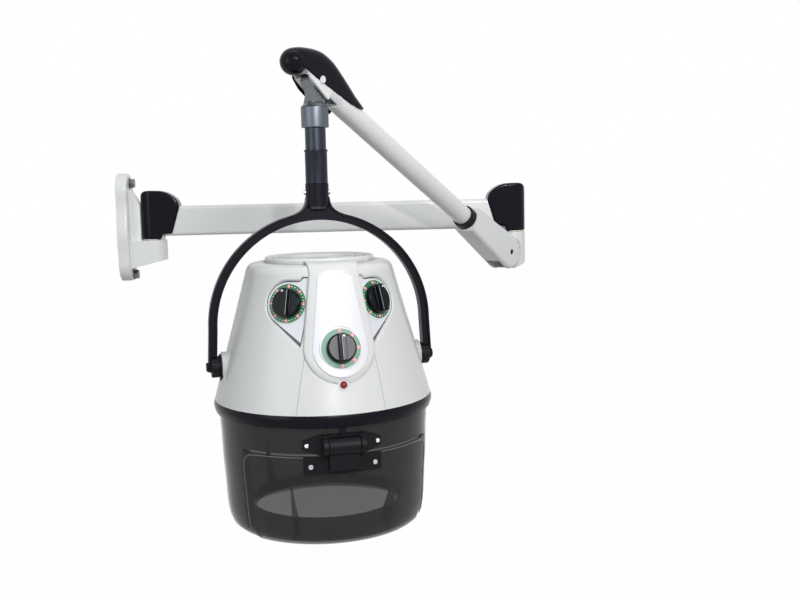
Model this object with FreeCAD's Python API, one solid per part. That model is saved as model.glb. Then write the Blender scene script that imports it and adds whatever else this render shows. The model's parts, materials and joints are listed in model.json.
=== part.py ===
import FreeCAD, Part
import math
import os

Vector = FreeCAD.Vector
ORIGIN = Vector(0, 0, 0)
X = Vector(1, 0, 0)
Y = Vector(0, 1, 0)
Z = Vector(0, 0, 1)

# Frame: origin at the middle of the two wall bolts, on the wall. +X leaves the wall, +Z is up.

# General fits and walls
shaft_clearance = 0.05          # radial play of a turning shaft in its bore
seat_clearance = 0.1            # play of a piece that sits still in its seat
running_gap = 0.3               # gap between faces that pass each other
curved_gap = 0.5                # gap between curved walls that pass each other

# Where the arms stand
wall_to_pivot = 72.0
arm_height = 16.0               # first arm's axis above the wall bolts' middle
first_arm_span = 800.0
second_arm_heading = 226.0      # degrees about Z: the second arm comes back past the first
lift_pin_offset = 43.0          # elbow axis to lift pin, level
lift_pin_drop = 85.0            # first arm's axis to lift pin, down
second_arm_span = 665.0         # lift pin to levelling pin
second_arm_lift = 30.5          # degrees above level
hood_heading = 12.0             # degrees about Z that the hood's front is turned

# Wall bracket
bolt_spacing = 200.0
bolt_hole_radius = 6.5
plate_thickness = 24.0
plate_lobe_radius = 40.0
plate_top = 122.0
plate_bottom = -114.0
plate_waist_half = 38.0
plate_waist_height = 54.0
plate_hip_half = 45.0
plate_hip_height = -12.0
plate_rounding = 6.0
rib_half_width = 15.0
rib_reach_top = 33.0
rib_reach_low = 46.0
rib_low_height = 52.0
cup_radius = 28.0
cup_depth = 43.0
cup_foot_depth = 66.0
nut_across_flats = 19.0
nut_height = 9.0
nut_bore_radius = 6.0
nut_bore_depth = 6.0
nut_washer_radius = 12.0
nut_washer_thickness = 1.6

# Upright pivots of the first arm
pivot_pin_radius = 12.0
pivot_nut_radius = 15.0
pivot_nut_height = 8.0
hub_radius = 24.4
hub_top = 50.0
hub_bottom = -40.0
thrust_washer_thickness = 1.0
thrust_washer_radius = 22.0

# First arm
arm_tube_height = 65.0
arm_tube_width = 35.0
arm_tube_wall = 2.5
arm_tube_corner = 8.0
arm_tube_start = 26.0
spigot_length = 70.0
cap_radius = 26.0
cap_wall = 1.5
cap_nose_half = 20.5
cap_nose_reach = 60.0
cap_top = 67.0
cap_bottom = -39.5

# Elbow
flange_radius = 26.0
flange_thickness = 7.8
post_bottom = -95.0
heel_rise = 2.0                  # where the post's heel starts to round, above the lift pin
heel_half = 24.0
tongue_half = 17.0
tongue_eye_radius = 22.0
lift_pin_radius = 6.0
link_offset = 13.0
link_pin_radius = 2.5
link_slot_half = 4.3

# Second arm
housing_half_width = 26.0
housing_end_radius = 37.0
housing_mouth = 150.0
housing_crest = 27.0
housing_rounding = 9.0
housing_tube_start = 60.0
housing_throat = 25.0
collar_length = 18.0
collar_radius = 24.0
second_tube_radius = 20.0
second_tube_wall = 2.5
link_rod_radius = 3.0
link_eye_radius = 5.0
link_eye_half = 4.0
spring_radius = 9.5
spring_wire = 1.2
spring_length = 180.0
spring_start = 210.0
spring_turns = 30
spring_seat_thickness = 6.0

# Levelling head
fork_half_width = 20.5
fork_slot_half = 15.3
fork_tail = 62.0
fork_spigot_length = 48.0
fork_slot_tail = 57.0
head_pin_radius = 6.0
head_pin_button_radius = 6.5
head_pin_button_height = 3.5
cover_wall = 2.5
cover_nose_radius = 22.5
cover_nose_reach = 55.0
cover_nose_rise = 1.5
knuckle_radius = 17.5
knuckle_half = 15.0
ferrule_radius = 24.3
ferrule_top = -45.5
ferrule_length = 36.5
swivel_spindle_radius = 10.0

# Column and yoke
column_radius = 18.5
column_wall = 3.0
column_top_below_pin = 48.0
sleeve_radius = 19.8
sleeve_top_below_pin = 120.5
sleeve_length = 59.5
column_ring_radius = 21.0
column_ring_height = 3.5
column_foot_below_pin = 225.0
yoke_socket_radius = 20.8
yoke_inner_radius = 186.0
yoke_band = 15.0
yoke_depth = 20.0
yoke_rib = 3.5
yoke_web_sink = 3.0
yoke_flare_reach = 72.0         # how far out along the arch the socket's flare begins
yoke_leg_splay = 3.5
yoke_foot_drop = 9.0
yoke_foot_wall = 5.0
yoke_screw_radius = 4.0

# Hood, measured from its rim
pin_above_rim = 564.8
tilt_axis_height = 67.0
yoke_centre_height = 134.3
shell_rim_height = 7.0
shell_shoulder_height = 227.3
shell_rim_radius = 194.4
shell_shoulder_radius = 133.0
shoulder_rise = 20.7
shell_wall = 3.0
crown_radius = 97.0
crown_inset = 36.0              # how far the crown stands in from the shoulder's edge
crown_rise = 9.0
crown_sink = 8.0
crown_ring_pitch = 8.0
crown_rings = 5
crown_ring_width = 3.0
crown_grille_drop = 4.0
crown_band = 47.0                # from the crown's edge in to its well
crown_disc_radius = 30.0
console_lift = 5.0
console_neck_half = 43.0
console_half = 61.5             # half width beside the speed dial
console_drop = 56.0             # from the speed dial's middle down to the console's lower edge
console_rise = 6.0
inset_lift = 1.5
inset_top_half = 31.5
inset_half = 47.6
inset_drop = 45.5
inset_corner = 6.0
inset_top_margin = 4.0
pocket_depth = 7.5
pocket_radius = 38.9
pocket_step = 6.4
pivot_boss_radius = 26.0
pivot_boss_face = 181.0
friction_disc_radius = 22.0
friction_disc_thickness = 3.5
tilt_stud_radius = 5.0
tilt_knob_radius = 19.0
tilt_cap_radius = 8.0
tilt_cap_rise = 3.0

# Dials
dial_radius = 33.0
dial_boss_radius = 36.0
dial_thickness = 1.5
knob_radius = 25.0
knob_height = 9.0
grip_half_width = 4.5
grip_height = 9.0
knob_shaft_radius = 3.0
side_dial_drop = 40.0           # below the shoulder's edge
temperature_dial_angle = -34.2
timer_dial_angle = 32.9
speed_dial_drop = 115.3
speed_dial_lift = 4.9
control_box_half = 22.0
control_box_depth = 28.0
lamp_radius = 7.5
lamp_drop = 58.0                # below the speed dial's middle

# Visor
gasket_radius = 196.4
gasket_top = 6.5
gasket_bottom = -14.0
gasket_wall = 9.5
visor_wall = 3.0
visor_split_height = -62.0
visor_bottom = -219.0
flap_half_angle = 60.0
flap_overlap_angle = 5.0
mouth_radius = 128.0
mouth_lip_radius = 137.0
mouth_lip_height = -183.0
gusset_angle = 30.0
gusset_thickness = 2.5
gusset_top = -104.0
rear_rib_angle = 150.0
hinge_height = -43.0
hinge_barrel_radius = 14.0
hinge_barrel_half = 27.0
hinge_heading = -1.6
hinge_pin_radius = 4.0
hinge_ear_thickness = 8.0
hinge_screw_angle = 18.0
hinge_screw_radius = 4.5
hinge_plate_top = -57.0
hinge_plate_bottom = -91.0
hinge_plate_thickness = 4.0

# Air works
bowl_wall = 3.0
bowl_rise = 52.0
bowl_holes_per_ring = 24
bowl_hole_radius = 3.5
motor_radius = 36.0
motor_height = 62.0
motor_shaft_radius = 4.0
motor_plate_height = 178.0
motor_plate_thickness = 4.0
fan_radius = 85.0
fan_height = 38.0
fan_blades = 16
heater_radius = 120.0
heater_wire_radius = 2.5
heater_turns = 3
heater_height = 86.0

nodes = {}


# ---------- small helpers ----------

def cylinder(radius, height, base=ORIGIN, direction=Z):
    return Part.makeCylinder(radius, height, base, direction)


def ring(outer, inner, height, base=ORIGIN, direction=Z):
    return cylinder(outer, height, base, direction).cut(cylinder(inner, height, base, direction))


def box(low, high):
    size = Vector(high[0] - low[0], high[1] - low[1], high[2] - low[2])
    return Part.makeBox(size.x, size.y, size.z, Vector(*low))


def closed(edges):
    return Part.Face(Part.Wire(edges))


def polygon(points):
    return Part.Face(Part.makePolygon(points + [points[0]]))


def curve(points):
    spline = Part.BSplineCurve()
    spline.interpolate(points)
    return spline.toShape()


def line(start, end):
    return Part.makeLine(start, end)


def side_plate(points, half_width):
    """A plate with its outline in X and Z, as thick as both half widths."""
    face = polygon([Vector(x, -half_width, z) for x, z in points])
    return face.extrude(Vector(0, 2 * half_width, 0))


def turned(profile, angle=360.0):
    """A turned piece from (radius, height) points."""
    face = polygon([Vector(radius, 0, height) for radius, height in profile])
    return face.revolve(ORIGIN, Z, angle)


def sector(face, start, end):
    """A turned wall from one angle to another, measured from the front."""
    solid = face.revolve(ORIGIN, Z, end - start)
    solid.rotate(ORIGIN, Z, start - 90.0)
    return solid


def at_angle(angle, radius, height):
    turn = math.radians(angle)
    return Vector(radius * math.sin(turn), -radius * math.cos(turn), height)


def fused(shapes):
    result = shapes[0]
    for shape in shapes[1:]:
        result = result.fuse(shape)
    return result.removeSplitter()


def group(shapes):
    return Part.makeCompound(shapes)


def rounded(solid, radius, picks):
    edges = [edge for edge in solid.Edges if picks(edge)]
    return solid.makeFillet(radius, edges)


def place(shape, origin, heading=0.0, lift=0.0):
    copy = shape.copy()
    copy.rotate(ORIGIN, Y, -lift)
    copy.rotate(ORIGIN, Z, heading)
    copy.translate(origin)
    return copy


def mirrored(shape, normal):
    return shape.mirror(ORIGIN, normal)


# ---------- where each body stands ----------

heading = math.radians(second_arm_heading)
lift = math.radians(second_arm_lift)
wall_pivot = Vector(wall_to_pivot, 0, arm_height)
elbow_pivot = Vector(wall_to_pivot + first_arm_span, 0, arm_height)
heading_direction = Vector(math.cos(heading), math.sin(heading), 0)
lift_pivot = elbow_pivot + heading_direction * lift_pin_offset - Z * lift_pin_drop
level_pivot = (
    lift_pivot
    + heading_direction * (second_arm_span * math.cos(lift))
    + Z * (second_arm_span * math.sin(lift))
)
hood_origin = level_pivot - Z * pin_above_rim


def on_wall(shape):
    return place(shape, wall_pivot)


def on_first_arm(shape):
    return place(shape, wall_pivot)


def on_elbow(shape):
    return place(shape, elbow_pivot, second_arm_heading)


def on_second_arm(shape):
    return place(shape, lift_pivot, second_arm_heading, second_arm_lift)


def on_head(shape):
    return place(shape, level_pivot, second_arm_heading)


def on_column(shape):
    return place(shape, level_pivot, hood_heading)


def on_hood(shape):
    return place(shape, hood_origin, hood_heading)


# ---------- wall bracket ----------

washer_space = thrust_washer_thickness + 2 * seat_clearance
post_top = hub_bottom - washer_space
bolt_heights = (-bolt_spacing / 2, bolt_spacing / 2)

lobe_high = plate_top - plate_lobe_radius
lobe_low = plate_bottom + plate_lobe_radius


def plate_side(sign):
    points = [
        Vector(0, sign * plate_lobe_radius, lobe_high),
        Vector(0, sign * plate_waist_half, plate_waist_height),
        Vector(0, sign * plate_hip_half, plate_hip_height),
        Vector(0, sign * plate_lobe_radius, lobe_low),
    ]
    spline = Part.BSplineCurve()
    spline.interpolate(Points=points, InitialTangent=Z * -1, FinalTangent=Z * -1)
    return spline.toShape()


def plate_end(sign, middle):
    left = Vector(0, -plate_lobe_radius, middle)
    top = Vector(0, 0, middle + sign * plate_lobe_radius)
    right = Vector(0, plate_lobe_radius, middle)
    return Part.Arc(left, top, right).toShape()


plate_edges = [plate_end(1, lobe_high), plate_side(1), plate_end(-1, lobe_low), plate_side(-1)]
plate = Part.Face(Part.Wire(Part.__sortEdges__(plate_edges))).extrude(X * plate_thickness)
plate = rounded(plate, plate_rounding, lambda edge: edge.BoundBox.XMin > plate_thickness - 0.01)

cup_top = arm_height + post_top
rib = side_plate(
    [
        (0, bolt_spacing / 2 - nut_washer_radius),
        (plate_thickness, bolt_spacing / 2 - nut_washer_radius),
        (rib_reach_top, bolt_spacing / 2 - 2 * nut_washer_radius),
        (rib_reach_low, rib_low_height),
        (rib_reach_low, cup_top),
        (0, cup_top),
    ],
    rib_half_width,
)
pivot_in_bracket = Vector(wall_to_pivot, 0, 0)
cup_block = cylinder(cup_radius, cup_foot_depth, pivot_in_bracket + Z * (cup_top - cup_foot_depth))
cup_neck = box((0, -cup_radius, cup_top - cup_foot_depth), (wall_to_pivot, cup_radius, cup_top))
cup_slope = side_plate(
    [
        (0, cup_top),
        (wall_to_pivot + cup_radius, cup_top),
        (wall_to_pivot + cup_radius, cup_top - cup_depth),
        (0, cup_top - cup_foot_depth),
    ],
    cup_radius,
)
cup = fused([cup_block, cup_neck]).common(cup_slope)
rib_room = cylinder(cap_radius + curved_gap, plate_top - cup_top, pivot_in_bracket + Z * cup_top)
bracket = fused([plate, rib.cut(rib_room), cup])
bracket = bracket.cut(
    cylinder(pivot_pin_radius + shaft_clearance, cup_foot_depth + 1, pivot_in_bracket + Z * (cup_top - cup_foot_depth))
)
for height in bolt_heights:
    bracket = bracket.cut(cylinder(bolt_hole_radius, plate_thickness, Vector(0, 0, height), X))
    bracket = bracket.cut(
        cylinder(nut_washer_radius + 1, rib_reach_low, Vector(plate_thickness, 0, height), X)
    )
nodes["wall_bracket"] = bracket


def hexagon(across_flats, height, base, direction):
    corner = across_flats / math.sqrt(3)
    points = []
    for index in range(6):
        turn = math.radians(60 * index + 30)
        points.append(Vector(corner * math.cos(turn), corner * math.sin(turn), 0))
    solid = polygon(points).extrude(Z * height)
    cone = Part.makeCone(corner * 1.55, corner * 0.86, height * 1.4, Vector(0, 0, -height * 0.4), Z)
    solid = solid.common(cone)
    solid.Placement = FreeCAD.Placement(base, FreeCAD.Rotation(Z, direction))
    return solid


nut_base = plate_thickness + nut_washer_thickness
nuts = []
washers = []
for height in bolt_heights:
    nut = hexagon(nut_across_flats, nut_height, Vector(nut_base, 0, height), X)
    nuts.append(nut.cut(cylinder(nut_bore_radius, nut_bore_depth, Vector(nut_base, 0, height), X)))
    washers.append(
        ring(nut_washer_radius, bolt_hole_radius, nut_washer_thickness, Vector(plate_thickness, 0, height), X)
    )
nodes["wall_cap_nuts"] = group(nuts + washers)


# ---------- upright pivots, the same at both ends of the first arm ----------

pin_foot = post_top - cup_depth + 4
pin = cylinder(pivot_pin_radius, hub_top - pin_foot, Z * pin_foot)
pin_nut = cylinder(pivot_nut_radius, pivot_nut_height, Z * (hub_top + running_gap))
pin_neck = cylinder(pivot_pin_radius, running_gap, Z * hub_top)
thrust_washer = ring(
    thrust_washer_radius,
    pivot_pin_radius + seat_clearance,
    thrust_washer_thickness,
    Z * (post_top + seat_clearance / 2),
)
nodes["wall_pivot_pin"] = on_wall(fused([pin, pin_neck, pin_nut]))
nodes["wall_thrust_washer"] = on_wall(thrust_washer)


# ---------- first arm ----------

def soft_box(start, end, height, width, corner):
    solid = box((start, -width / 2, -height / 2), (end, width / 2, height / 2))
    return rounded(solid, corner, lambda edge: edge.BoundBox.XLength > (end - start) * 0.9)


tube_end = first_arm_span - arm_tube_start
inner_corner = arm_tube_corner - arm_tube_wall
inner_height = arm_tube_height - 2 * arm_tube_wall
inner_width = arm_tube_width - 2 * arm_tube_wall
arm_tube = soft_box(arm_tube_start, tube_end, arm_tube_height, arm_tube_width, arm_tube_corner).cut(
    soft_box(arm_tube_start, tube_end, inner_height, inner_width, inner_corner)
)
nodes["first_arm_tube"] = on_first_arm(arm_tube)

spigot_play = 2 * seat_clearance
hub = cylinder(hub_radius, hub_top - hub_bottom, Z * hub_bottom)
spigot = soft_box(
    pivot_pin_radius + 2 * shaft_clearance,
    arm_tube_start + spigot_length,
    inner_height - spigot_play,
    inner_width - spigot_play,
    inner_corner,
)
socket = fused([hub, spigot]).cut(
    cylinder(pivot_pin_radius + shaft_clearance, hub_top - hub_bottom, Z * hub_bottom)
)
nodes["wall_end_socket"] = on_first_arm(socket)
flip = mirrored(socket, X)
flip.translate(X * first_arm_span)
nodes["elbow_end_socket"] = on_first_arm(flip)


def cap_outline(inset):
    side = [
        (-cap_radius + inset, cap_bottom),
        (-cap_radius + inset, 50),
        (-22.5 + inset, 60 - inset),
        (-13, cap_top - inset),
        (19, cap_top - 1.5 - inset),
        (43 - inset, 56.6 - inset),
        (55 - inset, 45 - inset),
        (cap_nose_reach, 30),
        (43, -25),
        (43, -28),
        (hub_radius - 2.4, -28),
        (19, cap_bottom),
    ]
    slab = side_plate(side, cap_radius)
    plan = polygon(
        [
            Vector(0, -cap_radius + inset, cap_bottom),
            Vector(cap_nose_reach + 1, -cap_nose_half + inset, cap_bottom),
            Vector(cap_nose_reach + 1, cap_nose_half - inset, cap_bottom),
            Vector(0, cap_radius - inset, cap_bottom),
        ]
    ).extrude(Z * (cap_top - cap_bottom))
    barrel = cylinder(cap_radius - inset, cap_top - cap_bottom, Z * cap_bottom)
    return slab.common(fused([barrel, plan]))


cap = cap_outline(0.0).cut(cap_outline(cap_wall))
tube_play = 2 * seat_clearance
cap = cap.cut(
    soft_box(
        arm_tube_start - 1, tube_end, arm_tube_height + tube_play, arm_tube_width + tube_play, arm_tube_corner
    )
)
nodes["wall_end_cap"] = on_first_arm(cap)
far_cap = mirrored(cap, X)
far_cap.translate(X * first_arm_span)
nodes["elbow_end_cap"] = on_first_arm(far_cap)


# ---------- elbow ----------

pin_at = Vector(lift_pin_offset, 0, -lift_pin_drop)
flange = cylinder(flange_radius, flange_thickness, Z * (post_top - flange_thickness))
boss_top = post_top - flange_thickness
heel = []
heel_back_reach = flange_radius + 2.0
for step in range(9):
    turn = math.pi / 2 * step / 8
    heel.append(
        Vector(
            lift_pin_offset - (lift_pin_offset + heel_back_reach) * math.cos(turn),
            0,
            -lift_pin_drop + heel_rise - (housing_end_radius + heel_rise) * math.sin(turn),
        )
    )
heel_back = Vector(-heel_back_reach, 0, boss_top)
heel_front = Vector(lift_pin_offset, 0, boss_top)
heel_face = closed(
    [curve(heel), line(heel[-1], heel_front), line(heel_front, heel_back), line(heel_back, heel[0])]
)
boss_plan = fused(
    [
        cylinder(flange_radius, boss_top + 2 * lift_pin_drop, Z * -2 * lift_pin_drop),
        box((0, -heel_half, -2 * lift_pin_drop), (lift_pin_offset, heel_half, -lift_pin_drop)),
    ]
)
heel_block = heel_face.extrude(Y * 2 * heel_back_reach)
heel_block.translate(Y * -heel_back_reach)
boss = boss_plan.common(heel_block)
housing_room = cylinder(
    housing_end_radius + 1.2,
    2 * heel_back_reach,
    pin_at - Y * heel_back_reach,
    Y,
)
boss = boss.cut(housing_room)
eye = cylinder(tongue_eye_radius, 2 * tongue_half, pin_at - Y * tongue_half, Y)
corner_distance = math.hypot(lift_pin_offset - flange_radius * 0.66, boss_top + lift_pin_drop)
corner_angle = math.atan2(boss_top + lift_pin_drop, flange_radius * 0.66 - lift_pin_offset)
touch_angle = corner_angle - math.acos(tongue_eye_radius / corner_distance)
low_distance = math.hypot(lift_pin_offset, post_bottom + lift_pin_drop)
low_angle = math.atan2(post_bottom + lift_pin_drop, -lift_pin_offset) + 2 * math.pi
low_touch = low_angle + math.acos(tongue_eye_radius / low_distance)


def around_pin(radius, angle):
    return (lift_pin_offset + radius * math.cos(angle), -lift_pin_drop + radius * math.sin(angle))


tongue = side_plate(
    [
        (0, boss_top),
        (flange_radius * 0.66, boss_top),
        around_pin(tongue_eye_radius, touch_angle),
        (lift_pin_offset, -lift_pin_drop),
        around_pin(tongue_eye_radius, low_touch),
        (0, post_bottom),
    ],
    tongue_half,
)
post = fused([flange, boss, tongue, eye])
link_slot = box(
    (lift_pin_offset - link_eye_radius - 1, -link_slot_half, -lift_pin_drop + lift_pin_radius + 1.2),
    (lift_pin_offset + tongue_eye_radius + 10, link_slot_half, boss_top + 1),
)
link_pin_at = pin_at + Z * link_offset
post = post.cut(link_slot)
post = post.cut(
    cylinder(lift_pin_radius + shaft_clearance, 2 * tongue_half, pin_at - Y * tongue_half, Y)
)
spindle = cylinder(pivot_pin_radius, hub_top - post_top, Z * post_top)
link_pin = cylinder(link_pin_radius, 2 * tongue_half, link_pin_at - Y * tongue_half, Y)
nodes["elbow_post"] = on_elbow(fused([post, spindle, pin_neck, pin_nut, link_pin]))
nodes["elbow_thrust_washer"] = on_elbow(thrust_washer)


# ---------- second arm: housing, tube, fork and cover ----------

crest_slope = math.atan2(
    housing_end_radius - housing_crest, housing_mouth
)
housing_side = [
    (0, -housing_end_radius),
    (housing_mouth, -second_tube_radius - 6),
    (housing_mouth, housing_crest),
    (housing_end_radius * math.sin(crest_slope), housing_end_radius * math.cos(crest_slope)),
]
housing = fused(
    [
        side_plate(housing_side, housing_half_width),
        cylinder(housing_end_radius, 2 * housing_half_width, Y * -housing_half_width, Y),
    ]
)
housing = rounded(
    housing,
    housing_rounding,
    lambda edge: edge.BoundBox.XLength > housing_mouth * 0.8 and edge.BoundBox.YLength < 0.01,
)
throat = box(
    (-2 * housing_end_radius, -tongue_half - running_gap, -2 * housing_end_radius),
    (housing_throat, tongue_half + running_gap, 2 * housing_end_radius),
)
inner_tube_radius = second_tube_radius - second_tube_wall
housing = housing.cut(throat)
housing = housing.cut(cylinder(inner_tube_radius, housing_mouth, X * 0, X))
housing = housing.cut(
    cylinder(second_tube_radius + seat_clearance, housing_mouth, X * housing_tube_start, X)
)
housing = housing.cut(
    cylinder(lift_pin_radius, 2 * housing_half_width, Y * -housing_half_width, Y)
)
nodes["lift_housing"] = on_second_arm(housing)
pin_half = housing_half_width - 2.0
nodes["lift_pin"] = on_second_arm(cylinder(lift_pin_radius, 2 * pin_half, Y * -pin_half, Y))

collar = ring(
    collar_radius,
    second_tube_radius + seat_clearance,
    collar_length,
    X * housing_mouth,
    X,
)
nodes["tube_collar"] = on_second_arm(collar)

tube_far = second_arm_span - fork_tail
nodes["second_arm_tube"] = on_second_arm(
    ring(
        second_tube_radius,
        inner_tube_radius,
        tube_far - housing_tube_start,
        X * housing_tube_start,
        X,
    )
)

seat_radius = inner_tube_radius - seat_clearance
rod_room = link_rod_radius + 1.0
slot_low = link_offset * math.cos(math.radians(second_arm_lift + 9)) - rod_room
slot_high = link_offset + rod_room
seat_slot = box((0, -rod_room, slot_low), (spring_seat_thickness, rod_room, second_tube_radius))
seat_slot.translate(X * spring_start)
seat = cylinder(seat_radius, spring_seat_thickness, X * spring_start, X).cut(seat_slot)
nodes["spring_seat"] = on_second_arm(seat)

spring_axis = Vector(spring_start + spring_seat_thickness, 0, slot_low - spring_radius - spring_wire - 0.5)
helix = Part.makeHelix(spring_length / spring_turns, spring_length, spring_radius - 5.0)
wire_round = Part.Wire(Part.makeCircle(spring_wire, Vector(spring_radius - 5.0, 0, 0), Y))
spring = Part.Wire(helix).makePipeShell([wire_round], True, True)
spring.rotate(ORIGIN, Y, 90)
spring.translate(spring_axis + X * spring_wire)
nodes["balance_spring"] = on_second_arm(spring)

fork_side = [
    (-fork_tail, -second_tube_radius),
    (10, -21.5),
    (15.7, -22.3),
    (26.5, -9),
    (29.3, -8.9),
    (54, -24.5),
    (62, -21),
    (66, -8),
    (62, 8),
    (50, 14),
    (-fork_tail, second_tube_radius - 0.5),
]
fork = side_plate(fork_side, fork_half_width)
fork = fork.common(
    fused(
        [
            cylinder(fork_half_width, fork_tail + 20, X * -fork_tail, X),
            box((-fork_tail / 2, -fork_half_width, -30), (80, fork_half_width, 30)),
        ]
    )
)
fork_spigot = cylinder(seat_radius, fork_spigot_length + 1, X * (-fork_tail - fork_spigot_length), X)
fork = fused([fork, fork_spigot])
fork = fork.cut(box((-fork_slot_tail, -fork_slot_half, -60), (28, fork_slot_half, 60)))
fork = fork.cut(box((28, -fork_slot_half, -60), (32, fork_slot_half, -6)))
rod_tunnel = box(
    (-fork_tail - fork_spigot_length, -rod_room, slot_low),
    (0, rod_room, slot_high),
)
fork = fork.cut(rod_tunnel)
fork = fork.cut(cylinder(head_pin_radius, 2 * fork_half_width, Y * -fork_half_width, Y))
head_at = Vector(second_arm_span, 0, 0)


def at_head(shape):
    copy = shape.copy()
    copy.translate(head_at)
    return on_second_arm(copy)


nodes["head_fork"] = at_head(fork)
head_pin = cylinder(head_pin_radius, 2 * fork_half_width, Y * -fork_half_width, Y)
head_pin = fused(
    [
        head_pin,
        cylinder(head_pin_button_radius, head_pin_button_height, Y * fork_half_width, Y),
        cylinder(head_pin_button_radius, head_pin_button_height, Y * -fork_half_width, Y * -1),
    ]
)
nodes["head_pin"] = at_head(head_pin)

cover_play = fork_half_width + running_gap


def cover_shape(inset):
    crest = [
        (-123.5, 21.5 - inset),
        (-89.6, 29.6 - inset),
        (-54, 40 - inset),
        (-23.6, 48 - inset),
        (-8, 50.2 - inset),
        (14, 49.3 - inset),
        (37, 40.3 - inset),
        (52, 22 - inset),
    ]
    under = [
        (52, -4),
        (44, -5.7),
        (13, -5.1),
        (-81, 1),
        (-106, 7.5),
    ]
    top = curve([Vector(x, 0, z) for x, z in crest])
    rest = [Vector(x, 0, z) for x, z in [crest[-1]] + under + [crest[0]]]
    lines = [line(rest[index], rest[index + 1]) for index in range(len(rest) - 1)]
    half = cover_play + cover_wall - inset
    face = closed([top] + lines)
    face.translate(Y * -half)
    return face.extrude(Y * (2 * half))


cover = cover_shape(0.0)
cover = rounded(
    cover,
    12.0,
    lambda edge: edge.BoundBox.XLength > 150 and edge.BoundBox.YLength < 0.01,
)
nose = Part.makeSphere(cover_nose_radius, Vector(cover_nose_reach, 0, cover_nose_rise))
cover = fused([cover, nose])
room_side = [
    (-126, -10),
    (-126, second_tube_radius + running_gap),
    (-fork_tail, second_tube_radius + running_gap),
    (-40, 34),
    (-16, 44),
    (14, 44),
    (30, 36),
    (30, 16),
    (52, 15),
    (64, 9),
    (68, -8),
    (64, -24),
    (52, -28),
    (0, -30),
]
room = side_plate(room_side, cover_play)
tube_room = cylinder(second_tube_radius + running_gap, fork_tail * 2, X * -(fork_tail * 2 + 5), X)
cover = cover.cut(room)
cover = cover.cut(tube_room)
cover = cover.cut(
    cylinder(head_pin_button_radius + 1, 4 * cover_play, Y * (-2 * cover_play), Y)
)
nodes["head_cover"] = at_head(cover)


# ---------- levelling link ----------

rod_length = second_arm_span
rod = cylinder(link_rod_radius, rod_length - 2 * link_eye_radius + 2, X * (link_eye_radius - 1), X)
near_eye = cylinder(link_eye_radius, 2 * link_eye_half, Y * -link_eye_half, Y)
far_eye = near_eye.copy()
far_eye.translate(X * rod_length)
rod = fused([rod, near_eye, far_eye])
rod = rod.cut(cylinder(link_pin_radius + shaft_clearance, 4 * link_eye_half, Y * (-2 * link_eye_half), Y))
rod = rod.cut(
    cylinder(
        link_pin_radius + running_gap,
        4 * link_eye_half,
        X * rod_length - Y * (2 * link_eye_half),
        Y,
    )
)
nodes["link_rod"] = place(rod, lift_pivot + Z * link_offset, second_arm_heading, second_arm_lift)


# ---------- levelling head ----------

knuckle_eye = cylinder(knuckle_radius, 2 * knuckle_half, Y * -knuckle_half, Y)
neck_low = ferrule_top
neck = side_plate(
    [
        (-13, 0),
        (13, 0),
        (11, -26),
        (17, neck_low),
        (-17, neck_low),
        (-11, -26),
    ],
    knuckle_half - 3,
)
shoulder = Part.makeCone(
    ferrule_radius, knuckle_half, 9.0, Z * ferrule_top, Z
)
spindle_length = ferrule_length + 12.0
lower_spindle = cylinder(swivel_spindle_radius, spindle_length, Z * (ferrule_top - spindle_length))
knuckle = fused([knuckle_eye, neck, shoulder, lower_spindle])
rod_clear = link_rod_radius + 0.8
swing_low = second_arm_lift + 9.5
swing_high = second_arm_lift - 35.5


def rod_path(angle):
    path = box((-60, -link_slot_half, -rod_clear), (0, link_slot_half, rod_clear))
    path.rotate(ORIGIN, Y, -angle)
    path.translate(Z * link_offset)
    return path


def rod_direction(angle):
    turn = math.radians(angle)
    return Vector(-60 * math.cos(turn), -link_slot_half, link_offset - 60 * math.sin(turn))


fan_of_paths = polygon(
    [
        Vector(0, -link_slot_half, link_offset),
        rod_direction(swing_low),
        rod_direction(swing_high),
    ]
).extrude(Y * (2 * link_slot_half))
knuckle = knuckle.cut(rod_path(swing_low))
knuckle = knuckle.cut(rod_path(swing_high))
knuckle = knuckle.cut(fan_of_paths)
knuckle = knuckle.cut(
    cylinder(link_eye_radius + 0.6, 2 * link_slot_half, Z * link_offset - Y * link_slot_half, Y)
)
knuckle = knuckle.cut(
    box(
        (-link_eye_radius - 0.6, -link_slot_half, link_offset),
        (link_eye_radius + 0.6, link_slot_half, link_offset + 20),
    )
)
knuckle = knuckle.cut(
    cylinder(head_pin_radius + shaft_clearance, 2 * knuckle_half, Y * -knuckle_half, Y)
)
far_link_pin = cylinder(link_pin_radius, 2 * knuckle_half, Z * link_offset - Y * knuckle_half, Y)
knuckle = fused([knuckle, far_link_pin])

ferrule_bottom = ferrule_top - ferrule_length
ferrule_inner = column_radius + running_gap
ferrule = ring(ferrule_radius, ferrule_inner, ferrule_length, Z * ferrule_bottom)
ferrule = rounded(
    ferrule,
    1.5,
    lambda edge: edge.Length > 2 * math.pi * ferrule_radius * 0.98 and edge.BoundBox.ZLength < 0.01,
)
nodes["steel_ferrule"] = on_head(ferrule)
spindle_foot = ferrule_top - spindle_length
swivel_nut = cylinder(swivel_spindle_radius + 3.5, 7.0, Z * spindle_foot)
nodes["head_knuckle"] = on_head(fused([knuckle, swivel_nut]))


# ---------- column and yoke ----------

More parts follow.
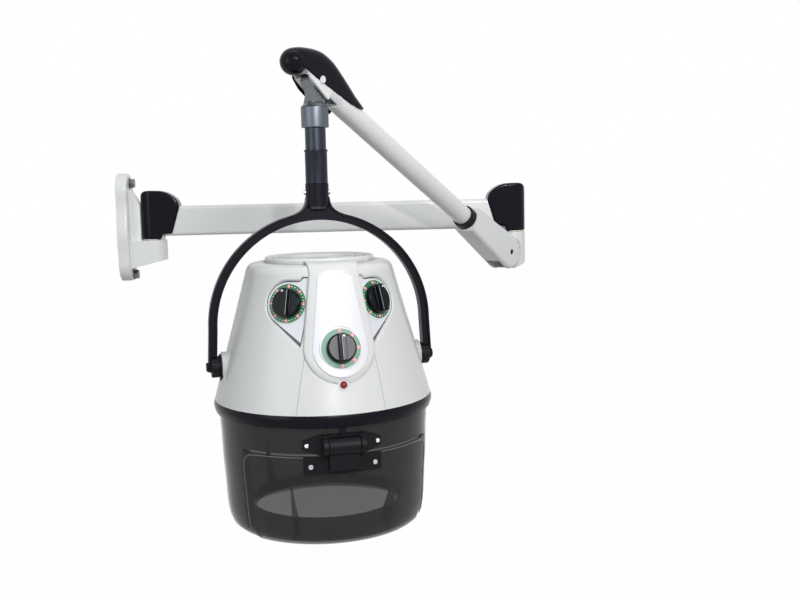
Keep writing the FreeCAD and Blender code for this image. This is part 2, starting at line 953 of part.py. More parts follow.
column_bore = column_radius - column_wall
column_top = -column_top_below_pin
column_foot = -column_foot_below_pin
column = ring(column_radius, column_bore, column_top - column_foot, Z * column_foot)
nodes["column_tube"] = on_column(column)
bush_bottom = spindle_foot + 7.0 + running_gap
nodes["column_bush"] = on_column(
    ring(
        column_bore - seat_clearance,
        swivel_spindle_radius + shaft_clearance,
        column_top - bush_bottom,
        Z * bush_bottom,
    )
)
sleeve_top = -sleeve_top_below_pin
sleeve_bottom = sleeve_top - sleeve_length
sleeve = ring(sleeve_radius, column_radius + seat_clearance, sleeve_length, Z * sleeve_bottom)
sleeve_lip = ring(
    column_ring_radius, column_radius + seat_clearance, column_ring_height, Z * (sleeve_top - column_ring_height)
)
nodes["column_sleeve"] = on_column(fused([sleeve, sleeve_lip]))

yoke_centre = yoke_centre_height - pin_above_rim
tilt_axis = tilt_axis_height - pin_above_rim
socket_flare = yoke_centre + yoke_inner_radius + yoke_band + 25.0


def yoke_face(inset):
    """The yoke's flat outline, drawn in from its edges by the inset."""
    outer = yoke_inner_radius + yoke_band - inset
    inner = yoke_inner_radius + inset
    neck = yoke_socket_radius - inset
    turn = math.asin(yoke_flare_reach / outer)
    edges = []
    for side in (-1, 1):
        foot = Vector(side * (outer + yoke_leg_splay), 0, tilt_axis)
        spring_line = Vector(side * outer, 0, yoke_centre)
        flare_foot = Vector(side * outer * math.sin(turn), 0, yoke_centre + outer * math.cos(turn))
        half_turn = (turn + math.pi / 2) / 2
        on_arch = Vector(side * outer * math.sin(half_turn), 0, yoke_centre + outer * math.cos(half_turn))
        neck_foot = Vector(side * neck, 0, socket_flare)
        flare = Part.BSplineCurve()
        flare.interpolate(
            Points=[flare_foot, neck_foot],
            InitialTangent=Vector(-side * math.cos(turn), 0, math.sin(turn)),
            FinalTangent=Z,
        )
        inner_foot = Vector(side * (inner + yoke_leg_splay), 0, tilt_axis)
        inner_spring = Vector(side * inner, 0, yoke_centre)
        edges.append(line(foot, spring_line))
        edges.append(Part.Arc(spring_line, on_arch, flare_foot).toShape())
        edges.append(flare.toShape())
        edges.append(line(foot, inner_foot))
        edges.append(line(inner_foot, inner_spring))
    crown_point = Vector(0, 0, yoke_centre + inner)
    edges.append(Part.Arc(Vector(-inner, 0, yoke_centre), crown_point, Vector(inner, 0, yoke_centre)).toShape())
    edges.append(line(Vector(-neck, 0, socket_flare), Vector(neck, 0, socket_flare)))
    return Part.Face(Part.Wire(Part.__sortEdges__(edges)))


yoke = yoke_face(0.0).extrude(Y * yoke_depth)
yoke.translate(Y * (-yoke_depth / 2))
web = yoke_face(yoke_rib).extrude(Y * yoke_web_sink)
for low_side in (-yoke_depth / 2, yoke_depth / 2 - yoke_web_sink):
    groove = web.copy()
    groove.translate(Y * low_side)
    yoke = yoke.cut(groove)
socket_lap = 16.0
yoke_socket = cylinder(yoke_socket_radius, sleeve_bottom - socket_flare + socket_lap, Z * (socket_flare - socket_lap))
yoke = fused([yoke, yoke_socket])
yoke = yoke.cut(
    cylinder(column_radius + seat_clearance, sleeve_bottom - column_foot + 1, Z * column_foot)
)
foot_outer = yoke_inner_radius + yoke_band + yoke_leg_splay
foot_inner = foot_outer - yoke_foot_wall
wheel_room = tilt_knob_radius + curved_gap
for side in (-1, 1):
    wheel_space = cylinder(wheel_room, yoke_band, Vector(side * (foot_inner - yoke_band), 0, tilt_axis), X * side)
    wheel_way = box(
        (foot_inner - yoke_band, -wheel_room, tilt_axis - wheel_room), (foot_inner, wheel_room, tilt_axis)
    )
    foot = box((foot_inner, -yoke_depth / 2, tilt_axis - yoke_foot_drop), (foot_outer, yoke_depth / 2, tilt_axis + 1))
    foot = rounded(foot, 5.0, lambda edge: edge.BoundBox.ZMax < tilt_axis - yoke_foot_drop + 0.01 and edge.BoundBox.XLength > 1)
    if side < 0:
        wheel_way = mirrored(wheel_way, X)
        foot = mirrored(foot, X)
    yoke = yoke.cut(wheel_space).cut(wheel_way).fuse(foot)
for side in (-1, 1):
    hole_base = Vector(side * (foot_inner - yoke_band), 0, tilt_axis)
    yoke = yoke.cut(cylinder(tilt_stud_radius + shaft_clearance, 2 * yoke_band, hole_base, X * side))
screw_height = socket_flare + 9.0
for side in (-1, 1):
    screw_hole = cylinder(yoke_screw_radius, yoke_socket_radius + 1, Z * screw_height, X * side)
    yoke = yoke.cut(screw_hole.cut(cylinder(column_radius, 2 * yoke_screw_radius + 2, Z * (screw_height - 5))))
yoke = yoke.removeSplitter()
nodes["yoke"] = on_column(yoke)
yoke_screws = []
for side in (-1, 1):
    screw = cylinder(yoke_screw_radius - seat_clearance, 5.0, X * (side * (column_radius + 0.2)) + Z * screw_height, X * side)
    yoke_screws.append(screw)
nodes["yoke_screws"] = on_column(group(yoke_screws))


# ---------- hood shell ----------

shell_top_height = shell_shoulder_height + shoulder_rise
crown_radius = shell_shoulder_radius - crown_inset
crown_well_radius = crown_radius - crown_band
crown_top = shell_top_height + crown_rise
crown_floor = shell_top_height - crown_sink
side_dial_height = shell_shoulder_height - side_dial_drop
speed_dial_height = shell_shoulder_height - speed_dial_drop
lamp_height = speed_dial_height - lamp_drop
console_foot = speed_dial_height - console_drop
roll_start = shell_shoulder_height + console_rise
inset_top = roll_start - inset_top_margin + 3.0
inset_foot = speed_dial_height - inset_drop

cone_slope = (shell_rim_radius - shell_shoulder_radius) / (shell_shoulder_height - shell_rim_height)
cone_angle = math.degrees(math.atan(cone_slope))


def cone_radius(height):
    return shell_shoulder_radius + cone_slope * (shell_shoulder_height - height)


def shell_core(offset):
    """Everything inside the shell's outside, as one solid."""
    shoulder = [
        Vector(shell_shoulder_radius + offset, 0, shell_shoulder_height),
        Vector(shell_shoulder_radius - 2.5 + offset, 0, shell_shoulder_height + 9),
        Vector(shell_shoulder_radius - 7.5 + offset, 0, shell_top_height - 4.5 + offset),
        Vector(shell_shoulder_radius - 15 + offset, 0, shell_top_height - 1 + offset),
        Vector(shell_shoulder_radius - 24, 0, shell_top_height + offset),
    ]
    rim = Vector(shell_rim_radius + offset, 0, shell_rim_height)
    top = Vector(0, 0, shoulder[-1].z)
    foot = Vector(0, 0, shell_rim_height)
    face = closed([line(rim, shoulder[0]), curve(shoulder), line(shoulder[-1], top), line(top, foot), line(foot, rim)])
    return face.revolve(ORIGIN, Z, 360)


outside = shell_core(0.0)
inside = shell_core(-shell_wall)
crown_hole = cylinder(crown_radius + seat_clearance, crown_top, Z * (crown_floor - 1))
shell = outside.cut(inside).cut(crown_hole)
crown_seat_wall = 6.0
crown_seat = ring(crown_radius + crown_seat_wall, crown_radius - 8, shell_wall, Z * (crown_floor - shell_wall))
crown_wall = ring(
    crown_radius + crown_seat_wall,
    crown_radius + seat_clearance,
    shell_top_height - shell_wall - crown_floor + 1,
    Z * (crown_floor - 0.5),
)
shell = fused([shell, crown_seat, crown_wall])


def dial_frame(angle, height, lift):
    """Where a dial's middle lies on the shell, and the way it faces."""
    lean = math.radians(cone_angle)
    outward = at_angle(angle, math.cos(lean), math.sin(lean))
    return at_angle(angle, cone_radius(height), height) + outward * lift, outward


dial_face = {}
dial_out = {}
dial_face["temperature"], dial_out["temperature"] = dial_frame(temperature_dial_angle, side_dial_height, -pocket_depth)
dial_face["timer"], dial_out["timer"] = dial_frame(timer_dial_angle, side_dial_height, -pocket_depth)
dial_face["speed"], dial_out["speed"] = dial_frame(0.0, speed_dial_height, speed_dial_lift)


def on_dial(shape, name):
    """From a dial's own frame, X across it and Y up it, to the hood's."""
    out = dial_out[name]
    across = Z.cross(out).normalize()
    up = out.cross(across)
    face = dial_face[name]
    shape = shape.copy()
    shape.Placement = FreeCAD.Placement(
        FreeCAD.Matrix(
            across.x, up.x, out.x, face.x, across.y, up.y, out.y, face.y, across.z, up.z, out.z, face.z, 0, 0, 0, 1
        )
    )
    return shape


def pocket_face(name):
    """A side dial's flat: a circle with a step towards the console and a tail below."""
    tip = Vector(31.5, -75.0, 0)
    reach = tip.Length
    start = math.atan2(tip.y, tip.x) - math.acos(pocket_radius / reach)
    around = [start, (start - 1.5 * math.pi) / 2, -1.5 * math.pi]
    low, middle, high = [Vector(pocket_radius * math.cos(a), pocket_radius * math.sin(a), 0) for a in around]
    step_start = Vector(18.3, pocket_radius, 0)
    step_end = Vector(25.0, pocket_radius + pocket_step, 0)
    corner = Vector(45.5, pocket_radius + pocket_step, 0)
    edges = [Part.Arc(low, middle, high).toShape()]
    stops = [high, step_start, step_end, corner, tip, low]
    edges += [line(a, b) for a, b in zip(stops, stops[1:])]
    face = closed(edges)
    return mirrored(face, X) if name == "timer" else face


pocket_reach = 30.0
pocket_backs = []
for name in ("temperature", "timer"):
    face = pocket_face(name)
    wider = face.makeOffset2D(shell_wall)
    back = on_dial(wider.extrude(Z * (pocket_depth + shell_wall)), name)
    back.translate(dial_out[name] * -shell_wall)
    pocket_backs.append(back)
    shell = shell.fuse(back.common(outside))
    shell = shell.cut(on_dial(face.extrude(Z * pocket_reach), name))
for side in (-1, 1):
    shell = shell.cut(
        cylinder(pivot_boss_radius, 40, Vector(side * pivot_boss_face, 0, tilt_axis_height), X * side)
    )
    pivot_boss = cylinder(
        pivot_boss_radius, 18, Vector(side * (pivot_boss_face - 18), 0, tilt_axis_height), X * side
    )
    shell = shell.fuse(pivot_boss)
for side in (-1, 1):
    shell = shell.cut(
        cylinder(
            tilt_stud_radius + shaft_clearance, 30, Vector(side * (pivot_boss_face - 24), 0, tilt_axis_height), X * side
        )
    )
shaft_bores = {}
for name in ("temperature", "timer", "speed"):
    shaft_bores[name] = cylinder(
        knob_shaft_radius + shaft_clearance, 60, dial_face[name] - dial_out[name] * 40, dial_out[name]
    )
    shell = shell.cut(shaft_bores[name])


def front_prism(outline):
    """A block as deep as the hood's front half, from an outline of X and height."""
    depth = 2 * shell_rim_radius
    outline.translate(Y * -depth)
    return outline.extrude(Y * depth)


def tongue(top_half, low_half, corner, top, middle, foot, straight_from):
    """A tongue-shaped outline with its round end down, about the speed dial."""
    arc = []
    for step in range(9):
        turn = math.pi * step / 8
        arc.append(Vector(low_half * math.cos(turn), 0, middle - (middle - foot) * math.sin(turn)))
    left_top = Vector(-top_half, 0, top - corner)
    right_top = Vector(top_half, 0, top - corner)
    edges = [curve(arc)]
    stops = [arc[-1], Vector(-top_half, 0, straight_from), left_top]
    if corner:
        stops += [Vector(-top_half + corner, 0, top), Vector(top_half - corner, 0, top)]
    stops += [right_top, Vector(top_half, 0, straight_from), arc[0]]
    kept = [stops[0]]
    for stop in stops[1:]:
        if (stop - kept[-1]).Length > 0.01:
            kept.append(stop)
    edges += [line(a, b) for a, b in zip(kept, kept[1:])]
    return closed(edges)


roll = [
    Vector(cone_radius(roll_start) + console_lift, 0, roll_start),
    Vector(cone_radius(roll_start) + console_lift - 3.0, 0, roll_start + 8),
    Vector(cone_radius(roll_start) + console_lift - 9.5, 0, crown_top - 8.5),
    Vector(cone_radius(roll_start) + console_lift - 19.0, 0, crown_top - 4.5),
    Vector(crown_radius + crown_seat_wall, 0, crown_top - 3),
]
low_front = Vector(cone_radius(console_foot - 5) + console_lift, 0, console_foot - 5)
low_back = Vector(roll[-1].x, 0, low_front.z)
console_section = closed(
    [line(low_front, roll[0]), curve(roll), line(roll[-1], low_back), line(low_back, low_front)]
)
console = sector(console_section, -45.0, 45.0)
console_outline = tongue(
    console_neck_half, console_half, 0.0, crown_top + 5, speed_dial_height, console_foot, roll_start
)
console = console.common(front_prism(console_outline))
console = console.cut(outside)
speed_seat_depth = speed_dial_lift + 6.0
speed_seat = cylinder(
    dial_boss_radius, speed_seat_depth, dial_face["speed"] - dial_out["speed"] * speed_seat_depth, dial_out["speed"]
)
speed_room = cylinder(dial_boss_radius + seat_clearance, pocket_reach, dial_face["speed"], dial_out["speed"])
console = fused([console, speed_seat.cut(outside)])
console = console.cut(speed_room).cut(shaft_bores["speed"])
for name in ("temperature", "timer"):
    console = console.cut(
        cylinder(dial_boss_radius + seat_clearance, pocket_reach, dial_face[name] - dial_out[name], dial_out[name])
    )
lamp_face, lamp_outward = dial_frame(0.0, lamp_height, 0.0)
lamp_hole = cylinder(lamp_radius, 40, lamp_face - lamp_outward * 20, lamp_outward)
lamp_collar = 1.5
lamp_front = cylinder(lamp_radius + lamp_collar + seat_clearance, 20, lamp_face - lamp_outward * 4, lamp_outward)
console = console.cut(lamp_front)
shell = shell.cut(lamp_hole)
nodes["hood_shell"] = on_hood(shell.removeSplitter())
nodes["front_console"] = on_hood(console)

inset_base = console_lift + seat_clearance
inset_section = polygon(
    [
        Vector(cone_radius(height) + inset_base + lift, 0, height)
        for height, lift in ((inset_foot - 5, 0), (inset_top, 0), (inset_top, inset_lift), (inset_foot - 5, inset_lift))
    ]
)
inset = sector(inset_section, -40.0, 40.0)
inset_outline = tongue(
    inset_top_half,
    inset_half,
    inset_corner,
    inset_top + 1,
    speed_dial_height,
    inset_foot,
    inset_top - 2 * inset_corner,
)
inset = inset.common(front_prism(inset_outline))
inset = inset.cut(
    cylinder(
        dial_boss_radius + seat_clearance, 2 * pocket_reach, dial_face["speed"] - dial_out["speed"] * pocket_reach, dial_out["speed"]
    )
)
nodes["console_inset"] = on_hood(inset)

lamp_body_radius = lamp_radius - lamp_collar
lamp = cylinder(lamp_body_radius, 16, lamp_face - lamp_outward * 13, lamp_outward)
lens = Part.makeSphere(lamp_body_radius, lamp_face + lamp_outward * 0.5)
lens_room = cylinder(lamp_radius + 8, 20, lamp_face + lamp_outward * 0.5, lamp_outward)
nodes["pilot_lamp"] = on_hood(fused([lamp, lens.common(lens_room)]))
nodes["lamp_bezel"] = on_hood(
    fused(
        [
            ring(lamp_radius - seat_clearance, lamp_body_radius + 0.1, 10, lamp_face - lamp_outward * 10, lamp_outward),
            ring(lamp_radius + lamp_collar, lamp_body_radius + 0.1, 1.2, lamp_face + lamp_outward * 0.1, lamp_outward),
        ]
    )
)

for name in ("temperature", "timer", "speed"):
    dial = ring(dial_radius, knob_shaft_radius + 1, dial_thickness, dial_face[name], dial_out[name])
    nodes[name + "_scale"] = on_hood(dial)

crown = cylinder(crown_radius, crown_top - crown_floor, Z * crown_floor)
crown = rounded(crown, 3.0, lambda edge: edge.BoundBox.ZMin > crown_top - 0.01)
crown_shell = 3.0
crown = crown.cut(cylinder(crown_radius - crown_shell, crown_top, Z * (crown_top - crown_grille_drop)))
crown = crown.cut(cylinder(crown_radius - 3 * crown_shell, crown_top - crown_grille_drop - crown_floor - crown_shell, Z * (crown_floor - 0.01)))
crown = crown.cut(cylinder(crown_well_radius, crown_top, Z * crown_floor))
well = ring(crown_well_radius + 2, crown_well_radius - 0.5, crown_top - crown_floor - crown_grille_drop, Z * crown_floor)
crown_base = cylinder(crown_radius - 0.5, crown_shell, Z * crown_floor)
crown_rims = []
crown_slots = []
grille_level = crown_top - crown_grille_drop
for index in range(crown_rings):
    rim_radius = crown_well_radius + 2.0 + index * crown_ring_pitch
    crown_rims.append(ring(rim_radius + crown_ring_width, rim_radius, crown_grille_drop - 1.5, Z * (grille_level - 0.01)))
    if index:
        for spoke in range(4):
            slot_face = polygon(
                [
                    Vector(rim_radius - 3.5, 0, grille_level - 2 * crown_shell),
                    Vector(rim_radius - 1.5, 0, grille_level - 2 * crown_shell),
                    Vector(rim_radius - 1.5, 0, grille_level + 1),
                    Vector(rim_radius - 3.5, 0, grille_level + 1),
                ]
            )
            crown_slots.append(sector(slot_face, spoke * 90 + 8, spoke * 90 + 82))
crown = fused([crown, well, crown_base] + crown_rims)
crown = crown.cut(group(crown_slots))
nodes["crown_grille"] = on_hood(crown)
disc_top = crown_top - crown_grille_drop - 1.0
disc_thickness = 3.0
crown_disc = cylinder(crown_disc_radius, disc_thickness, Z * (disc_top - disc_thickness))
post_height = disc_top - disc_thickness - crown_floor - crown_shell
disc_post = ring(crown_disc_radius - 12, crown_disc_radius - 16, post_height, Z * (crown_floor + crown_shell))
nodes["crown_disc"] = on_hood(fused([crown_disc, disc_post]))


# ---------- gasket and visor ----------

gasket_profile = [
    (gasket_radius - gasket_wall, gasket_bottom),
    (gasket_radius - 3, gasket_bottom),
    (gasket_radius - 1.5, gasket_bottom + 5),
    (gasket_radius, -4),
    (gasket_radius, 1),
    (gasket_radius - 2, gasket_top),
    (gasket_radius - gasket_wall, gasket_top),
]
nodes["rim_gasket"] = on_hood(turned(gasket_profile))

visor_outside = [
    (gasket_radius - gasket_wall - seat_clearance, gasket_top - 1),
    (gasket_radius - gasket_wall - seat_clearance, -33),
    (185.6, -48),
    (185, -68),
    (184, -97),
    (182, -125),
    (180, -162),
    (179, -180),
    (176, -199),
    (171, -212),
    (163, visor_bottom),
]


def visor_wall_face(low, high, offset):
    """The visor's wall between two heights, moved out by an offset."""
    inner = []
    outer = []
    for radius, height in visor_samples(low, high):
        inner.append(Vector(radius - visor_wall + offset, 0, height))
        outer.append(Vector(radius + offset, 0, height))
    return polygon(outer + inner[::-1])


def visor_radius(height):
    for above, below in zip(visor_outside, visor_outside[1:]):
        if below[1] <= height <= above[1]:
            share = (above[1] - height) / (above[1] - below[1])
            return above[0] + share * (below[0] - above[0])
    return visor_outside[-1][0]


def visor_samples(low, high):
    heights = [high] + [height for radius, height in visor_outside if low < height < high] + [low]
    return [(visor_radius(height), height) for height in heights]


floor_low = visor_bottom
fixed_start = flap_half_angle - flap_overlap_angle
upper_band = visor_wall_face(visor_split_height + 3, gasket_top - 1, 0.0).revolve(ORIGIN, Z, 360)
side_wall = sector(visor_wall_face(floor_low + 3, visor_split_height + 3, 0.0), fixed_start, 360 - fixed_start)
foot_profile = [
    (visor_radius(floor_low + 3), floor_low + 3),
    (163.0, floor_low),
    (mouth_radius + 3, -202),
    (mouth_radius, -198),
    (mouth_lip_radius - 2, mouth_lip_height),
    (mouth_lip_radius + 1, mouth_lip_height),
    (mouth_radius + 6, -199),
    (160.0, floor_low + 3.5),
    (visor_radius(floor_low + 3) - visor_wall, floor_low + 5),
    (visor_radius(floor_low + 6), floor_low + 6),
]


def visor_foot():
    return polygon([Vector(radius, 0, height) for radius, height in foot_profile])


side_foot = sector(visor_foot(), fixed_start, 360 - fixed_start)
smoked = fused([upper_band, side_wall, side_foot])
hinge_reach = visor_radius(hinge_height) + curved_gap + hinge_barrel_radius
rear_ribs = []
for side in (-1, 1):
    rib = polygon(
        [
            Vector(visor_radius(gusset_top) - 1, 0, gusset_top),
            Vector(visor_radius(visor_bottom + 20) - 1, 0, visor_bottom + 20),
            Vector(163, 0, visor_bottom + 4),
            Vector(mouth_lip_radius + 6, 0, visor_bottom + 16),
            Vector(mouth_lip_radius + 12, 0, mouth_lip_height + 3),
            Vector(visor_radius(gusset_top) - visor_wall - 1, 0, gusset_top),
        ]
    )
    rib.translate(Y * (-gusset_thickness / 2))
    rib = rib.extrude(Y * gusset_thickness)
    rib.rotate(ORIGIN, Z, side * rear_rib_angle - 90)
    rear_ribs.append(rib)
smoked = fused([smoked] + rear_ribs)
nodes["smoked_shell"] = on_hood(smoked)

flap_offset = visor_wall + curved_gap
flap_top = visor_split_height
flap_wall = sector(
    visor_wall_face(-199.0, flap_top, flap_offset), -flap_half_angle, flap_half_angle
)
floor_half = fixed_start - 1.0
lower_wall = sector(visor_wall_face(floor_low + 3, -199.0, flap_offset), -floor_half, floor_half)
knee_band = sector(
    polygon(
        [
            Vector(visor_radius(-206) + flap_offset, 0, -206),
            Vector(visor_radius(floor_low + 3) + flap_offset, 0, floor_low + 3),
            Vector(163.0 + flap_offset, 0, floor_low),
            Vector(mouth_radius + 3, 0, -202),
            Vector(mouth_radius, 0, -198),
            Vector(mouth_lip_radius - 2, 0, mouth_lip_height),
            Vector(mouth_lip_radius + 1, 0, mouth_lip_height),
            Vector(mouth_radius + 6, 0, -199),
            Vector(160.0, 0, floor_low + 3.5),
            Vector(visor_radius(floor_low + 3) - visor_wall + flap_offset, 0, floor_low + 5),
            Vector(visor_radius(-206) - visor_wall + flap_offset, 0, -206),
        ]
    ),
    -floor_half,
    floor_half,
)
gussets = []
for side in (-1, 1):
    gusset = polygon(
        [
            Vector(visor_radius(gusset_top) + flap_offset - 1, 0, gusset_top),
            Vector(visor_radius(-199) + flap_offset - 1, 0, -199),
            Vector(166, 0, floor_low + 4),
            Vector(mouth_lip_radius + 6, 0, -203),
            Vector(mouth_lip_radius + 12, 0, -180),
            Vector(visor_radius(gusset_top) + flap_offset - visor_wall - 1, 0, gusset_top),
        ]
    )
    gusset.translate(Y * (-gusset_thickness / 2))
    gusset = gusset.extrude(Y * gusset_thickness)
    gusset.rotate(ORIGIN, Z, side * gusset_angle - 90)
    gussets.append(gusset)
flap = fused([flap_wall, lower_wall, knee_band] + gussets)
nodes["visor_flap"] = on_hood(flap)


# ---------- friction hinge of the flap ----------

hinge_axis = Vector(0, -hinge_reach, hinge_height)


def on_hinge(shape):
    shape = shape.copy()
    shape.rotate(ORIGIN, Z, hinge_heading)
    return on_hood(shape)


barrel = ring(
    hinge_barrel_radius,
    hinge_pin_radius + shaft_clearance,
    2 * hinge_barrel_half,
    hinge_axis - X * hinge_barrel_half,
    X,
)
barrel = rounded(
    barrel,
    2.5,
    lambda edge: edge.Length > 2 * math.pi * hinge_barrel_radius * 0.98 and edge.BoundBox.XLength < 0.01,
)
nodes["hinge_barrel"] = on_hinge(barrel)

ear_inner = hinge_barrel_half + running_gap
ear_outer = ear_inner + hinge_ear_thickness
bracket_curve = visor_radius(hinge_height)
bracket_thickness = 5.0
bracket_tip = 20.5              # where the pointed ends stop, as an angle round the visor
bracket_point_half = 7.0
bracket_waist_half = hinge_barrel_radius + 4.0
bracket_pad = sector(
    polygon(
        [
            Vector(bracket_curve + 0.6, 0, hinge_height - bracket_waist_half),
            Vector(bracket_curve + bracket_thickness, 0, hinge_height - bracket_waist_half),
            Vector(bracket_curve + bracket_thickness, 0, hinge_height + bracket_waist_half),
            Vector(bracket_curve + 1.6, 0, hinge_height + bracket_waist_half),
        ]
    ),
    -bracket_tip,
    bracket_tip,
)
tip_x = bracket_curve * math.sin(math.radians(bracket_tip)) + 1
point_outline = polygon(
    [
        Vector(side * across, 0, hinge_height + rise)
        for side, across, rise in (
            (-1, tip_x, -bracket_point_half),
            (-1, ear_outer + 2, -bracket_waist_half),
            (1, ear_outer + 2, -bracket_waist_half),
            (1, tip_x, -bracket_point_half),
            (1, tip_x, bracket_point_half),
            (1, ear_outer + 2, bracket_waist_half),
            (-1, ear_outer + 2, bracket_waist_half),
            (-1, tip_x, bracket_point_half),
        )
    ]
)
bracket_pad = bracket_pad.common(front_prism(point_outline))
barrel_room = cylinder(hinge_barrel_radius + curved_gap, 2 * ear_inner, hinge_axis - X * ear_inner, X)
flap_room = box(
    (-ear_inner, -hinge_reach - hinge_barrel_radius, hinge_height - bracket_waist_half - 1),
    (ear_inner, -bracket_curve, hinge_height),
)
stem_half = 6.0
stem = box(
    (-stem_half, -bracket_curve - bracket_thickness, hinge_height + bracket_waist_half - 2),
    (stem_half, -bracket_curve + 1.6, gasket_bottom - 0.6),
)
lip_height = hinge_barrel_radius + curved_gap
top_bar = box(
    (-ear_outer, -hinge_reach + 4, hinge_height + lip_height),
    (ear_outer, -bracket_curve + 1.6, hinge_height + bracket_waist_half),
)
ears = []
for side in (-1, 1):
    ear = cylinder(
        hinge_barrel_radius,
        hinge_ear_thickness,
        Vector(side * ear_inner, -hinge_reach, hinge_height),
        X * side,
    )
    low_x = min(side * ear_inner, side * ear_outer)
    high_x = max(side * ear_inner, side * ear_outer)
    web_box = box(
        (low_x, -hinge_reach, hinge_height - 8),
        (high_x, -bracket_curve * math.cos(math.radians(14)), hinge_height + bracket_waist_half),
    )
    ears.append(fused([ear, web_box]))
hinge_bracket = fused([bracket_pad.cut(flap_room), top_bar, stem] + ears)
fixed_body = turned(
    [
        (0, gasket_top),
        (gasket_radius + curved_gap, gasket_top),
        (gasket_radius + curved_gap, gasket_bottom - 0.3),
        (visor_outside[1][0] + 0.3, gasket_bottom - 0.3),
        (visor_outside[1][0] + 0.3, -33),
        (visor_radius(-48) + 0.3, -48),
        (visor_radius(-68) + 0.3, -68),
        (0, -68),
    ]
)
hinge_bracket = hinge_bracket.cut(fixed_body)
hinge_bracket = hinge_bracket.cut(barrel_room)
hinge_pin = cylinder(hinge_pin_radius, 2 * ear_outer, hinge_axis - X * ear_outer, X)
nodes["hinge_bracket"] = on_hinge(fused([hinge_bracket, hinge_pin]))
ball_screws = []
for side in (-1, 1):
    seat = at_angle(side * hinge_screw_angle, bracket_curve + bracket_thickness + 0.1, hinge_height)
    outward = at_angle(side * hinge_screw_angle, 1.0, 0.0)
    ball = Part.makeSphere(hinge_screw_radius, seat)
    front = cylinder(hinge_screw_radius + 1, hinge_screw_radius + 1, seat, outward)
    ball_screws.append(ball.common(front))
nodes["bracket_screws"] = on_hinge(group(ball_screws))

plate_face = polygon(
    [
        Vector(visor_radius(hinge_plate_top - 6) + flap_offset + 0.2, 0, hinge_plate_top - 6),
        Vector(visor_radius(hinge_plate_top - 6) + flap_offset + hinge_plate_thickness, 0, hinge_plate_top - 6),
        Vector(visor_radius(hinge_plate_bottom) + flap_offset + hinge_plate_thickness, 0, hinge_plate_bottom),
        Vector(visor_radius(hinge_plate_bottom) + flap_offset + 0.2, 0, hinge_plate_bottom),
    ]
)
hinge_plate = sector(plate_face, -20.0, 20.0)
plate_outer = visor_radius(hinge_plate_bottom) + flap_offset + hinge_plate_thickness
strap = box(
    (-hinge_barrel_half + 2, -hinge_reach - 3, hinge_plate_bottom + 8),
    (hinge_barrel_half - 2, -plate_outer + hinge_plate_thickness - 2, hinge_height),
)
strap = strap.cut(cylinder(hinge_barrel_radius, 4 * hinge_barrel_half, hinge_axis - X * (2 * hinge_barrel_half), X))
flap_core = turned(
    [
        (0, visor_split_height + 6),
        (visor_radius(-62) + flap_offset + 0.2, visor_split_height + 6),
        (visor_radius(-68) + flap_offset + 0.2, -68),
        (visor_radius(-97) + flap_offset + 0.2, -97),
        (0, -97),
    ]
)
strap = strap.cut(flap_core)
nodes["hinge_plate"] = on_hinge(fused([hinge_plate, strap]))
plate_screws = []
for side in (-1, 1):
    seat = at_angle(side * 16.2, visor_radius(-78.5) + flap_offset + hinge_plate_thickness + 0.3, -78.5)
    outward = at_angle(side * 16.2, 1.0, 0.0)
    plate_screws.append(cylinder(4.0, 2.0, seat, outward))
nodes["plate_screws"] = on_hinge(group(plate_screws))


# ---------- knobs ----------

def knob(name):
    body = rounded(cylinder(knob_radius, knob_height), 1.5, lambda edge: edge.BoundBox.ZMin > knob_height - 1)
    grip_half_length = knob_radius - 3.0
    grip = box((-grip_half_width, -grip_half_length, 0), (grip_half_width, grip_half_length, knob_height + grip_height))
    shaft_length = 22 + dial_thickness
    shaft = cylinder(knob_shaft_radius, shaft_length, Z * -shaft_length)
    whole = fused([body, grip, shaft])
    whole.translate(Z * (dial_thickness + running_gap))
    placed = on_dial(Part.makeCompound([whole]), name)
    return placed.Solids[0]


for name in ("temperature", "timer", "speed"):
    nodes[name + "_knob"] = on_hood(knob(name))

wheel_start = pivot_boss_face + 0.1 + friction_disc_thickness + running_gap
wheel_length = foot_inner - running_gap - wheel_start
flute_radius = 6.5
flute_count = 8
for side, name in ((-1, "left"), (1, "right")):
    base = Vector(side * wheel_start, 0, tilt_axis_height)
    wheel = cylinder(tilt_knob_radius, wheel_length, base, X * side)
    wheel = rounded(wheel, 1.5, lambda edge: edge.Length > 6 * tilt_knob_radius)
    for index in range(flute_count):
        turn = 2 * math.pi * (index + 0.5) / flute_count
        flute_reach = tilt_knob_radius + 5.0
        flute_at = Vector(
            side * (wheel_start - 1),
            flute_reach * math.cos(turn),
            tilt_axis_height + flute_reach * math.sin(turn),
        )
        wheel = wheel.cut(cylinder(flute_radius, wheel_length + 2, flute_at, X * side))
    stud_start = pivot_boss_face - 15
    stud_end = foot_outer + running_gap
    stud = cylinder(tilt_stud_radius, stud_end - stud_start + 1, Vector(side * stud_start, 0, tilt_axis_height), X * side)
    cap = cylinder(tilt_cap_radius, tilt_cap_rise, Vector(side * stud_end, 0, tilt_axis_height), X * side)
    cap = rounded(cap, 1.0, lambda edge: abs(edge.BoundBox.Center.x) > stud_end + tilt_cap_rise - 0.01)
    nodes[name + "_tilt_knob"] = on_hood(fused([wheel, stud, cap]))
discs = []
for side in (-1, 1):
    discs.append(
        ring(
            friction_disc_radius,
            tilt_stud_radius + running_gap,
            friction_disc_thickness,
            Vector(side * (pivot_boss_face + 0.1), 0, tilt_axis_height),
            X * side,
        )
    )
nodes["friction_discs"] = on_hood(group(discs))


# ---------- air works inside the hood ----------

bowl_edge = visor_outside[0][0] - visor_wall - 1.0


